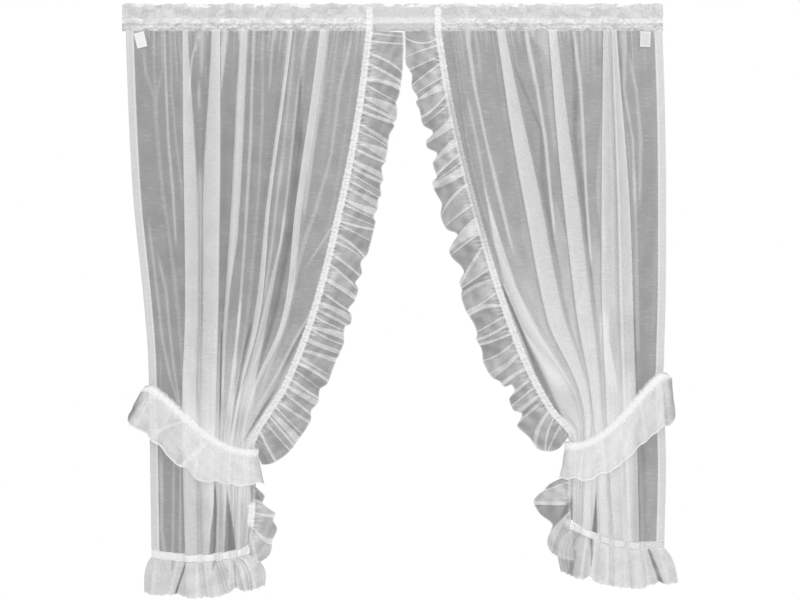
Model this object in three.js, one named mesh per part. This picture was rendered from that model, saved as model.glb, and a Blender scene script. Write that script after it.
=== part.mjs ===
// A pair of ruffled sheer curtains on one gathered heading, each drawn to its side by a tie-back.
// Millimetres, +Z up, front towards -Y. The origin is the middle of the heading's top edge.
// "across" runs from a curtain's outer side to the middle, "drop" runs down from the top edge.
import * as THREE from "three";

const HALF_WIDTH = 662.5; // middle of the pair to the outer end of the heading
const CLOTH = 1.2; // one layer of sheer
const BAND = 2.0; // gathered band
const SIDE_HEM = 2.2; // turned side hem
const SIDE_HEM_WIDTH = 24;
const SEAM = 0.3; // gap between sewn pieces
const HEM_SEAM = 0.6; // gap at the sloping hem

const HEADING_DROP = 64;
const HEADING_STITCH_DROP = 44; // the row of gathering stitches
const HEADING_WAVE_PITCH = 40;
const HEADING_COLUMNS_PER_WAVE = 4;
const HEADING_WAVE = { top: 3.2, stitch: 1.8, bottom: 2.8 };
const HEADING_TOP_UNEVEN = 5; // the top edge frill stands up to this far above the origin
const HEADING_UNEVEN_RATES = [0.9, 0.37]; // radians a column of its two crossing waves
const HEADING_CLOTH = 1.8; // gathered heading

const BAND_WIDTH = 17;
const BAND_TOP_DROP = 6;
const BAND_COLUMNS = 56;
const BAND_HEM_CLEAR = 1; // the leading band stops this far above the hem band
const BAND_SETTLE = 60; // length over which it comes back from the heading to the cloth
const LINE_POINTS = 50; // points of the curve along the leading edge
const LINE_STEPS = 200; // lengths measured along it

const RUFFLE_FULL_DEPTH = 90;
const RUFFLE_DROOP = 0.28; // radians that the flutes hang below square to the band
const FLUTE_PITCH = 62;
const FLUTE_SWING = 10;
const FLUTE_OVERLAP = 5;
const COLUMNS_PER_FLUTE = 6;
const RUFFLE_FLAT_SHARE = 0.8; // most of a shallow ruffle's depth that lies flat
const FLUTE_SIZE_UNEVEN = { size: 0.2, rate: 2.3 };
const FLUTE_PLACE_UNEVEN = [{ size: 0.17, rate: 1.7, start: 0 }, { size: 0.12, rate: 0.6, start: 1 }];

const HEM_BAND_HEIGHT = 18;
const HEM_BAND_THICKNESS = 1.6;
const HEM_FLUTE_PITCH = 58;
const HEM_FLUTE_SWING = 7;
const HEM_RUFFLE_ROWS = [0, 0.5, 1];
const HEM_FOLD_SPREAD = 0.5; // the folds stand this much further out at the ruffle's free edge

const TIE_BAND = 2.4;
const TIE_BAND_WIDTH = 20;
const TIE_FRONT = -31; // plan of the tie-back round the gathered folds
const TIE_BACK = 8.5;
const TIE_ENDS_APART = 2;
const TIE_COLUMNS = 54;
const TIE_SEAM = 0.5; // gap at the sloping tie-back
const TIE_RUFFLE_FLARE = 11;
const TIE_END_FLARE = 0.5; // share of the flare that is left at the two round ends
const TIE_FLUTE_SWING = 8;
const TIE_FLUTE_COUNT = 9;
const TIE_RUFFLE_ROWS = [0, 0.45, 1];
const TIE_SWEEP = 1.2; // power of the sine that the tie-back's slope follows
const TIE_SLOPE_RANGE = [0.12, 0.97]; // shares of its width between which the slope is measured
const TIE_SLOPE_STEP = 0.02;

const TAB = { width: 25, height: 38, thickness: 1 };

const BOX_BACK = 5; // the back among a box's six faces
const CORNERS_PER_QUAD = 6; // of its two triangles

const VOILE = { colour: 0xf4f4f5, roughness: 0.8 };
const SHIRRED_TAPE = { colour: 0xffffff, roughness: 0.75 };
const TAB_TAPE = { colour: 0xffffff, roughness: 0.6 };

// Levels down a panel, as a share of its length, at which the fold tables give places and widths.
const LEVELS = { head: 0, middle: 0.33, low: 0.52, tie: 0.71, hem: 1 };
const PANEL_ROWS = [0, 0.06, 0.16, 0.27, 0.38, 0.49, 0.58, 0.64, 0.68, 0.71, 0.76, 0.86, 1];

// Both edges of a panel: share of the length, then the outer edge and the leading edge.
const EDGE_COLUMNS = ["share", "outerAcross", "outerDrop", "leadAcross", "leadDrop"];
// The ruffle: length past the tie-back, its depth there, and how far its flutes turn down (or up).
const RUFFLE_COLUMNS = ["past", "depth", "fan"];
// The folds of a panel: the side their front edge faces, then place and width at each level.
const FOLD_COLUMNS = ["shape", "head", "middle", "low", "tie", "hem",
  "headWide", "middleWide", "lowWide", "tieWide", "hemWide"];

const LEFT = {
  side: -1,
  headingAcross: [-4, 687],
  edges: named(EDGE_COLUMNS, [
    [0.00, 5, 64, 602, 64],
    [0.13, 11, 238, 579, 243],
    [0.33, 24, 478, 531, 496],
    [0.52, 49, 723, 458, 776],
    [0.62, 59, 845, 398, 928],
    [0.71, 62, 948, 313, 1086],
    [0.85, 65, 1139, 315, 1205],
    [1.00, 68, 1334, 306, 1326],
  ]),
  folds: named(FOLD_COLUMNS, [
    ["outward", 152, 166, 168, 162, 167, 12, 31, 30, 32, 28],
    ["inward", 226, 215, 213, 208, 207, 20, 41, 38, 36, 26],
    ["ridge", 291, 274, 257, 240, 230, 17, 17, 12, 8, 6],
    ["inward", 409, 354, 327, 262, 248, 8, 9, 14, 16, 12],
    ["ridge", 453, 405, 359, 278, 266, 9, 6, 14, 6, 8],
    ["outward", 492, 431, 396, 291, 282, 18, 16, 13, 6, 8],
  ]),
  ruffle: named(RUFFLE_COLUMNS, [
    [-1080, 86, -0.38],
    [-1010, 95, -0.22],
    [-930, 94, 0],
    [-600, 91, 0],
    [-420, 92, 0],
    [-160, 94, 0],
    [-90, 101, 0.02],
    [-56, 90, 0.12],
    [-36, 62, 0.14],
    [-22, 24, 0.1],
    [-12, 7, 0],
    [84, 5, 0],
    [122, 62, 0],
    [190, 70, 0.1],
    [245, 66, 0.95],
  ]),
  ruffleLobe: 6,
  hemSag: 15,
  hemRuffle: { outerDepth: 88, leadDepth: 78, outerFlare: 18, leadFlare: 39 },
  tie: { outer: 68, inner: 312, outerDrop: 940, innerDrop: 1096, outerDepth: 94, innerDepth: 70 },
  tieLean: { outer: 0.46, inner: -0.06 },
  tieEndRise: 0.32,
  tab: { across: 42, drop: 85.8, tilt: 0.24 },
};

const RIGHT = {
  side: 1,
  headingAcross: [3, 637],
  edges: named(EDGE_COLUMNS, [
    [0.00, 5, 64, 555, 64],
    [0.13, -1, 238, 525, 243],
    [0.33, -4, 478, 465, 496],
    [0.52, -3, 723, 379, 776],
    [0.62, 0, 833, 320, 917],
    [0.665, 1, 875, 278, 990],
    [0.71, 3, 914, 226, 1058],
    [0.85, -4, 1115, 228, 1180],
    [1.00, 0, 1312, 229, 1264],
  ]),
  folds: named(FOLD_COLUMNS, [
    ["outward", 124, 101, 94, 87, 76, 10, 27, 30, 30, 24],
    ["inward", 144, 140, 138, 128, 112, 10, 27, 30, 30, 26],
    ["inward", 273, 228, 197, 163, 146, 20, 37, 38, 20, 22],
    ["inward", 400, 321, 268, 187, 190, 20, 42, 42, 14, 20],
    ["ridge", 520, 445, 334, 203, 208, 5, 8, 30, 4, 4],
  ]),
  ruffle: named(RUFFLE_COLUMNS, [
    [-1060, 82, -0.44],
    [-1000, 89, -0.22],
    [-920, 88, 0],
    [-460, 88, 0],
    [-190, 101, 0],
    [-90, 102, 0.06],
    [-60, 95, 0.16],
    [-44, 70, 0.26],
    [-29, 34, 0.3],
    [-16, 7, 0.3],
    [88, 5, 0],
    [114, 86, 0],
    [155, 76, 0.15],
    [182, 88, 0.6],
    [206, 96, 1.1],
  ]),
  ruffleLobe: 10,
  hemSag: 20,
  hemRuffle: { outerDepth: 84, leadDepth: 104, outerFlare: 34, leadFlare: 21 },
  tie: { outer: 7.8, inner: 226, outerDrop: 908, innerDrop: 1080, outerDepth: 114, innerDepth: 72 },
  tieLean: { outer: 0.06, inner: -0.04 },
  tieEndRise: 0.2,
  tab: { across: 47, drop: 84, tilt: 0.04 },
};

// Sections of a fold: side of the fold, distance past that side, share of the rise to the front.
const PLEAT_SECTION = named(["side", "past", "rise"], [
  [-1, -3, 0.62],
  [-0.5, 0, 0.96],
  [0.4, 0, 1],
  [1, -0.8, 0.82],
  [1, 1.2, 0.64],
  [1, -0.8, 0.46],
  [-1, 2, 0.3],
  [-1, 0.3, 0.16],
  [-1, 2.2, 0.02],
]);
const RIDGE_SECTION = named(["side", "past", "rise"], [
  [-1, -2, 0.4],
  [0, 0, 1],
  [1, 2, 0.4],
]);
const FOLD_RISE = 6; // rise of the narrowest fold, and what each millimetre of width adds
const FOLD_RISE_PER_WIDTH = 0.32;
const RISE_AT = { head: 0.9, middle: 1, low: 1.15, tie: 1.5, hem: 1.25 }; // folds deepen where gathered
const BETWEEN_FOLDS = [0.25, 0.75];
const BETWEEN_SAG = 0.05;
const BETWEEN_SAG_MOST = 4;
const LEAD_FLAT = 13; // flat cloth under the leading band
const PANEL_CLEAR = 4; // panel edge and ruffle edge to the middle of the band
const RUFFLE_CLEAR = 2;
const UNDER_BAND = 16; // the ruffle lies flat this far, behind the band

function named(columns, rows) {
  return rows.map((row) => Object.fromEntries(row.map((value, index) => [columns[index], value])));
}

function mix(from, to, share) {
  return from + (to - from) * share;
}

function step(from, to, value) {
  return THREE.MathUtils.smoothstep(value, from, to);
}

// Smooth curve through a table's values that never swings past them: the value at one place.
function through(places, values, place) {
  const last = places.length - 1;
  const rate = (at) => (values[at + 1] - values[at]) / (places[at + 1] - places[at]);
  const slope = (at) => {
    const before = rate(Math.max(at - 1, 0));
    const after = rate(Math.min(at, last - 1));
    if (before * after <= 0) return 0;
    const steepest = 3 * Math.min(Math.abs(before), Math.abs(after));
    return Math.sign(before) * Math.min(Math.abs(before + after) / 2, steepest);
  };
  let index = 0;
  while (index < last - 1 && place > places[index + 1]) index += 1;
  const span = places[index + 1] - places[index];
  const t = (place - places[index]) / span;
  const rise = values[index + 1] - values[index];
  const start = slope(index) * span;
  const end = slope(index + 1) * span;
  const bend = 3 * rise - 2 * start - end;
  const twist = start + end - 2 * rise;
  return values[index] + start * t + bend * t ** 2 + twist * t ** 3;
}

function place(curtain, across, depth, drop) {
  return new THREE.Vector3(curtain.side * (HALF_WIDTH - across), depth, -drop);
}

function clothMaterial({ colour, roughness }) {
  return new THREE.MeshStandardMaterial({ color: colour, roughness, metalness: 0, side: THREE.DoubleSide });
}

// Splits the back's quads along the same diagonals as the front's, so that twisted cloth keeps its thickness.
function matchBackToFront(box) {
  const index = box.getIndex();
  const back = box.groups[BOX_BACK];
  for (let at = back.start; at < back.start + back.count; at += CORNERS_PER_QUAD) {
    const [topLeft, bottomLeft, topRight, , bottomRight] = index.array.slice(at, at + CORNERS_PER_QUAD);
    index.array.set([topLeft, bottomLeft, bottomRight, topLeft, bottomRight, topRight], at);
  }
}

// A box of cloth bent so that its middle surface passes through grid[column][row].
function bentCloth(name, grid, thicknessAt, material) {
  const columns = grid.length - 1;
  const rows = grid[0].length - 1;
  const box = new THREE.BoxGeometry(columns, rows, 1, columns, rows, 1);
  matchBackToFront(box);
  const points = box.getAttribute("position");
  const along = new THREE.Vector3();
  const up = new THREE.Vector3();
  for (let index = 0; index < points.count; index += 1) {
    const column = Math.round(points.getX(index) + columns / 2);
    const row = Math.round(rows / 2 - points.getY(index));
    const half = Math.sign(points.getZ(index)) * thicknessAt(column) / 2;
    along.subVectors(grid[Math.min(column + 1, columns)][row], grid[Math.max(column - 1, 0)][row]);
    up.subVectors(grid[column][Math.max(row - 1, 0)], grid[column][Math.min(row + 1, rows)]);
    const point = along.cross(up).normalize().multiplyScalar(half).add(grid[column][row]);
    points.setXYZ(index, point.x, point.y, point.z);
  }
  box.computeVertexNormals();
  const mesh = new THREE.Mesh(box, material);
  mesh.name = name;
  return mesh;
}

function edgeAt(curtain, share, column) {
  return through(curtain.edges.map((row) => row.share), curtain.edges.map((row) => row[column]), share);
}

function foldAt(fold, share) {
  const names = Object.keys(LEVELS);
  const levels = Object.values(LEVELS);
  const width = through(levels, names.map((name) => fold[`${name}Wide`]), share);
  return {
    middle: through(levels, names.map((name) => fold[name]), share),
    half: width / 2,
    rise: (FOLD_RISE + FOLD_RISE_PER_WIDTH * width) * through(levels, Object.values(RISE_AT), share),
  };
}

// The points of one fold, in order from the outer side; an outward fold is an inward one mirrored.
function foldSection(fold, share) {
  const { middle, half, rise } = foldAt(fold, share);
  const rows = fold.shape === "ridge" ? RIDGE_SECTION : PLEAT_SECTION;
  const section = rows.map((row) => ({ across: row.side * half + row.past, depth: -row.rise * rise }));
  if (fold.shape === "outward") {
    section.reverse().forEach((point) => { point.across *= -1; });
  }
  return section.map((point) => ({ across: middle + point.across, depth: point.depth }));
}

// One level of a panel: its points from the outer edge to the leading edge, with the folds between.
function panelSection(curtain, share) {
  const outer = edgeAt(curtain, share, "outerAcross");
  const lead = edgeAt(curtain, share, "leadAcross");
  const section = [{ across: outer, depth: 0 }, { across: outer + SIDE_HEM_WIDTH, depth: 0 }];
  const flatStart = lead - LEAD_FLAT;
  let reached = outer + SIDE_HEM_WIDTH;
  const between = (next) => {
    const gap = next - reached;
    const depth = Math.min(gap * BETWEEN_SAG, BETWEEN_SAG_MOST);
    BETWEEN_FOLDS.forEach((part) => section.push({ across: reached + gap * part, depth }));
  };
  curtain.folds.forEach((fold) => {
    const points = foldSection(fold, share);
    const places = points.map((point) => point.across);
    between(Math.min(...places));
    section.push(...points);
    reached = Math.max(...places);
  });
  between(flatStart);
  section.push({ across: flatStart, depth: 0 }, { across: lead - PANEL_CLEAR, depth: 0 });
  return section.map((point) => ({ ...point, drop: dropAt(curtain, share, point.across, outer, lead) }));
}

function dropAt(curtain, share, across, outer, lead) {
  const part = THREE.MathUtils.clamp((across - outer) / (lead - outer), 0, 1);
  const sag = curtain.hemSag * 4 * part * (1 - part) * step(LEVELS.tie, LEVELS.hem, share);
  return mix(edgeAt(curtain, share, "outerDrop"), edgeAt(curtain, share, "leadDrop"), part) + sag;
}

function panel(curtain, prefix) {
  const sections = PANEL_ROWS.map((share) => panelSection(curtain, share));
  const grid = sections[0].map((_, column) => sections.map((section, row) => {
    const point = section[column];
    const seam = row === 0 ? SEAM : 0;
    return place(curtain, point.across, point.depth, point.drop + seam);
  }));
  const thickness = (column) => (column < 2 ? SIDE_HEM : CLOTH);
  return bentCloth(`${prefix}_panel`, grid, thickness, clothMaterial(VOILE));
}

function heading(curtain, prefix) {
  const [start, end] = curtain.headingAcross;
  const waves = Math.round((end - start) / HEADING_WAVE_PITCH);
  const columns = waves * HEADING_COLUMNS_PER_WAVE;
  const grid = [];
  for (let column = 0; column <= columns; column += 1) {
    const across = mix(start, end, column / columns);
    const wave = Math.sin(column * 2 * Math.PI / HEADING_COLUMNS_PER_WAVE + Math.PI / 4);
    const crossing = Math.sin(column * HEADING_UNEVEN_RATES[0]) * Math.cos(column * HEADING_UNEVEN_RATES[1]);
    const uneven = -HEADING_TOP_UNEVEN * (1 + crossing) / 2;
    grid.push([
      place(curtain, across, HEADING_WAVE.top * wave, uneven),
      place(curtain, across, HEADING_WAVE.stitch * wave, HEADING_STITCH_DROP),
      place(curtain, across, HEADING_WAVE.bottom * wave, HEADING_DROP),
    ]);
  }
  return bentCloth(`${prefix}_heading`, grid, () => HEADING_CLOTH, clothMaterial(VOILE));
}

// The leading edge as a curve from the heading to the hem.
function leadingLine(curtain) {
  const points = [];
  for (let index = 0; index <= LINE_POINTS; index += 1) {
    const share = index / LINE_POINTS;
    points.push(place(curtain, edgeAt(curtain, share, "leadAcross"), 0, edgeAt(curtain, share, "leadDrop")));
  }
  return new THREE.CatmullRomCurve3(points);
}

// How far along the leading line the tie-back crosses it.
function lengthToTie(curtain, line) {
  const lengths = line.getLengths(LINE_STEPS);
  const tieDrop = edgeAt(curtain, LEVELS.tie, "leadDrop");
  return lengths.find((_, index) => -line.getPoint(index / LINE_STEPS).z >= tieDrop);
}

function ruffleAt(curtain, past, column) {
  const { ruffle } = curtain;
  const within = THREE.MathUtils.clamp(past, ruffle[0].past, ruffle[ruffle.length - 1].past);
  return through(ruffle.map((row) => row.past), ruffle.map((row) => row[column]), within);
}

// Uneven flutes: the place of flute number "count" along a strip of "total" flutes, as a share.
function flutePlace(count, total) {
  const free = Math.min(1, count, total - count);
  const shifts = FLUTE_PLACE_UNEVEN.map(({ size, rate, start }) => size * Math.sin(rate * count + start));
  return (count + free * (shifts[0] + shifts[1])) / total;
}

function leadingRuffle(curtain, prefix) {
  const line = leadingLine(curtain);
  const total = line.getLength();
  const tied = lengthToTie(curtain, line);
  const flutes = Math.round(total / FLUTE_PITCH);
  const columns = flutes * COLUMNS_PER_FLUTE;
  const grid = [];
  for (let column = 0; column <= columns; column += 1) {
    const count = column / COLUMNS_PER_FLUTE;
    const share = flutePlace(count, flutes);
    const tangent = line.getTangentAt(share);
    const start = line.getPointAt(share);
    const past = share * total - tied;
    const slope = Math.atan2(-tangent.x * curtain.side, -tangent.z);
    const turn = RUFFLE_DROOP - slope + ruffleAt(curtain, past, "fan");
    const out = new THREE.Vector3(-curtain.side * Math.cos(turn), 0, -Math.sin(turn));
    const phase = count * 2 * Math.PI;
    const whole = ruffleAt(curtain, past, "depth");
    const free = Math.max(whole - UNDER_BAND, 0) / (RUFFLE_FULL_DEPTH - UNDER_BAND);
    const size = free * (1 + FLUTE_SIZE_UNEVEN.size * Math.sin(FLUTE_SIZE_UNEVEN.rate * count));
    const settled = step(0, HEADING_DROP, share * total);
    const depth = whole - free * settled * curtain.ruffleLobe * (1 + Math.cos(phase)) / 2;
    const flat = Math.min(UNDER_BAND, depth * RUFFLE_FLAT_SHARE);
    grid.push([RUFFLE_CLEAR, flat, depth].map((reach) => {
      const swing = reach === depth ? size : 0;
      const point = start.clone().addScaledVector(out, reach);
      point.addScaledVector(tangent, swing * FLUTE_OVERLAP * Math.sin(2 * phase) * settled);
      point.y += swing * FLUTE_SWING * Math.cos(phase);
      point.z -= SEAM * (1 - settled);
      return point;
    }));
  }
  return bentCloth(`${prefix}_leading_ruffle`, grid, () => CLOTH, clothMaterial(VOILE));
}

function leadingBand(curtain, prefix) {
  const line = leadingLine(curtain);
  const overCloth = -(CLOTH / 2 + SEAM + BAND / 2);
  const overHeading = overCloth - HEADING_WAVE.top - CLOTH / 4;
  const top = line.getPoint(0);
  const length = line.getLength();
  const above = -top.z - BAND_TOP_DROP;
  const grid = [];
  for (let column = 0; column <= BAND_COLUMNS; column += 1) {
    const run = mix(-above, length - BAND_HEM_CLEAR, column / BAND_COLUMNS);
    const share = Math.max(run, 0) / length;
    const middle = line.getPointAt(share);
    const tangent = line.getTangentAt(share);
    const square = new THREE.Vector3(-tangent.z, 0, tangent.x).multiplyScalar(BAND_WIDTH / 2);
    if (run <= 0) {
      middle.z -= run;
      square.set(BAND_WIDTH / 2, 0, 0);
    }
    middle.y = mix(overHeading, overCloth, step(0, BAND_SETTLE, run));
    grid.push([middle.clone().sub(square), middle.clone().add(square)]);
  }
  return bentCloth(`${prefix}_leading_band`, grid, () => BAND, clothMaterial(SHIRRED_TAPE));
}

// The hem band and its ruffle carry on from the bottom level of the panel; shapeAt places a point.
function hemStrip(curtain, rows, shapeAt) {
  const section = panelSection(curtain, LEVELS.hem);
  const outer = section[0].across;
  const width = section[section.length - 1].across - outer;
  return section.map((point) => rows.map((reach) => {
    const shaped = shapeAt(point, reach, (point.across - outer) / width);
    return place(curtain, shaped.across, shaped.depth, shaped.drop);
  }));
}

function hemBand(curtain, prefix) {
  const grid = hemStrip(curtain, [0, 1], (point, reach) => (
    { ...point, drop: point.drop + mix(HEM_SEAM, HEM_BAND_HEIGHT, reach) }
  ));
  return bentCloth(`${prefix}_hem_band`, grid, () => HEM_BAND_THICKNESS, clothMaterial(SHIRRED_TAPE));
}

function hemRuffle(curtain, prefix) {
  const { outerDepth, leadDepth, outerFlare, leadFlare } = curtain.hemRuffle;
  const grid = hemStrip(curtain, HEM_RUFFLE_ROWS, (point, reach, part) => {
    const wave = Math.cos(point.across * 2 * Math.PI / HEM_FLUTE_PITCH + curtain.side);
    return {
      across: point.across + reach * mix(-outerFlare, leadFlare, part),
      depth: point.depth * (1 + reach * HEM_FOLD_SPREAD) + HEM_FLUTE_SWING * reach * wave,
      drop: point.drop + HEM_BAND_HEIGHT + HEM_SEAM + reach * mix(outerDepth, leadDepth, part),
    };
  });
  return bentCloth(`${prefix}_hem_ruffle`, grid, () => CLOTH, clothMaterial(VOILE));
}

// Plan of the tie-back: out along the back, round the inner side, back along the front, and round.
function tiePlan(tie) {
  const middle = (TIE_FRONT + TIE_BACK) / 2;
  const radius = (TIE_BACK - TIE_FRONT) / 2;
  const plan = new THREE.Path();
  plan.moveTo(tie.outer + TIE_ENDS_APART, TIE_BACK);
  plan.lineTo(tie.inner, TIE_BACK);
  plan.absarc(tie.inner, middle, radius, Math.PI / 2, -Math.PI / 2, true);
  plan.lineTo(tie.outer, TIE_FRONT);
  plan.absarc(tie.outer, middle, radius, -Math.PI / 2, -3 * Math.PI / 2, true);
  return plan;
}

// Stations round the tie-back: plan place, outward direction, drop and the lean of its width.
function tieStations(curtain) {
  const { tie } = curtain;
  const plan = tiePlan(tie);
  const dropOf = (share) => mix(tie.outerDrop, tie.innerDrop, Math.sin(share * Math.PI / 2) ** TIE_SWEEP);
  const stations = [];
  for (let column = 0; column <= TIE_COLUMNS; column += 1) {
    const spot = plan.getPointAt(column / TIE_COLUMNS);
    const heading = plan.getTangentAt(column / TIE_COLUMNS);
    const share = THREE.MathUtils.clamp((spot.x - tie.outer) / (tie.inner - tie.outer), 0, 1);
    const near = THREE.MathUtils.clamp(share, ...TIE_SLOPE_RANGE);
    const fall = dropOf(near + TIE_SLOPE_STEP) - dropOf(near - TIE_SLOPE_STEP);
    const slope = fall / (2 * TIE_SLOPE_STEP * (tie.inner - tie.outer));
    stations.push({
      across: spot.x,
      depth: spot.y,
      outAcross: -heading.y,
      outDepth: heading.x,
      drop: dropOf(share),
      lean: Math.atan(slope),
      share,
    });
  }
  return stations;
}

function tieBand(curtain, prefix) {
  const half = TIE_BAND_WIDTH / 2;
  const grid = tieStations(curtain).map((station) => [-half, half].map((down) => place(
    curtain,
    station.across - down * Math.sin(station.lean),
    station.depth,
    station.drop + down * Math.cos(station.lean),
  )));
  return bentCloth(`${prefix}_tie_band`, grid, () => TIE_BAND, clothMaterial(SHIRRED_TAPE));
}

function tieRuffle(curtain, prefix) {
  const { tie, tieLean } = curtain;
  const start = TIE_BAND_WIDTH / 2 + TIE_SEAM;
  const grid = tieStations(curtain).map((station, column) => {
    const lean = mix(tieLean.outer, tieLean.inner, station.share);
    const shorter = 1 - curtain.tieEndRise * Math.max(-station.outAcross, 0);
    const depth = mix(tie.outerDepth, tie.innerDepth, station.share) * shorter;
    const phase = column / TIE_COLUMNS * TIE_FLUTE_COUNT * 2 * Math.PI;
    const flare = mix(1, TIE_END_FLARE, Math.abs(station.outAcross));
    return TIE_RUFFLE_ROWS.map((reach) => {
      const out = reach * flare * (TIE_RUFFLE_FLARE + TIE_FLUTE_SWING * Math.cos(phase));
      const inward = start * Math.sin(station.lean) + reach * depth * Math.sin(lean);
      const down = start * Math.cos(station.lean) + reach * depth * Math.cos(lean);
      const across = station.across - inward + station.outAcross * out;
      return place(curtain, across, station.depth + station.outDepth * out, station.drop + down);
    });
  });
  return bentCloth(`${prefix}_tie_ruffle`, grid, () => CLOTH, clothMaterial(VOILE));
}

function labelTab(curtain, prefix) {
  const box = new THREE.BoxGeometry(TAB.width, TAB.thickness, TAB.height);
  const mesh = new THREE.Mesh(box, clothMaterial(TAB_TAPE));
  mesh.name = `${prefix}_label_tab`;
  const depth = -(SIDE_HEM / 2 + SEAM + TAB.thickness / 2);
  mesh.position.copy(place(curtain, curtain.tab.across, depth, curtain.tab.drop));
  mesh.rotation.y = curtain.side * curtain.tab.tilt;
  return mesh;
}

function curtainGroup(curtain, prefix) {
  const group = new THREE.Group();
  group.add(
    panel(curtain, prefix),
    heading(curtain, prefix),
    leadingBand(curtain, prefix),
    leadingRuffle(curtain, prefix),
    hemBand(curtain, prefix),
    hemRuffle(curtain, prefix),
    tieBand(curtain, prefix),
    tieRuffle(curtain, prefix),
    labelTab(curtain, prefix),
  );
  return group;
}

const curtains = new THREE.Group();
curtains.add(curtainGroup(LEFT, "left"), curtainGroup(RIGHT, "right"));

export default curtains;
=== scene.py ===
import math
import bpy
import bmesh
import numpy as np
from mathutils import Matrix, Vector


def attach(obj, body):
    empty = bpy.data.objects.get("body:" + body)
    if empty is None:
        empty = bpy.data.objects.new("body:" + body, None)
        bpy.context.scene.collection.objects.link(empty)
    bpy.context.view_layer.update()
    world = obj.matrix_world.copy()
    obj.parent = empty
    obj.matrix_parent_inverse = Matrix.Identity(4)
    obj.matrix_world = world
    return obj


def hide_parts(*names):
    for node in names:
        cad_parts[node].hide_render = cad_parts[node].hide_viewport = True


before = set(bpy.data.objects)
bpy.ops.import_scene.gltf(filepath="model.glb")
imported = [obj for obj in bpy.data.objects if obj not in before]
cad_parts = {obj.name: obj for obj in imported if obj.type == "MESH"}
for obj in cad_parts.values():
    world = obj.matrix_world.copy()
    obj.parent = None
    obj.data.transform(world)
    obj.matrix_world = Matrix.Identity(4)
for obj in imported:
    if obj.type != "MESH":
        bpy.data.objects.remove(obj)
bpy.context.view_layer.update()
print("frame loaded")

# Sizes are in millimetres until a sheet is made. "across" runs from a curtain's outer side
# towards the middle, "drop" runs down from the heading's top, and depth is negative in front.
halfWidth = 662.5
chance = np.random.default_rng(11)

levels = {"head": 0, "middle": 0.33, "low": 0.52, "tie": 0.71, "hem": 1}
edgeColumns = ("share", "outerAcross", "outerDrop", "leadAcross", "leadDrop")
foldColumns = ("shape", "head", "middle", "low", "tie", "hem",
               "headWide", "middleWide", "lowWide", "tieWide", "hemWide")


def named(columns, rows):
    return [dict(zip(columns, row)) for row in rows]


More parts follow.
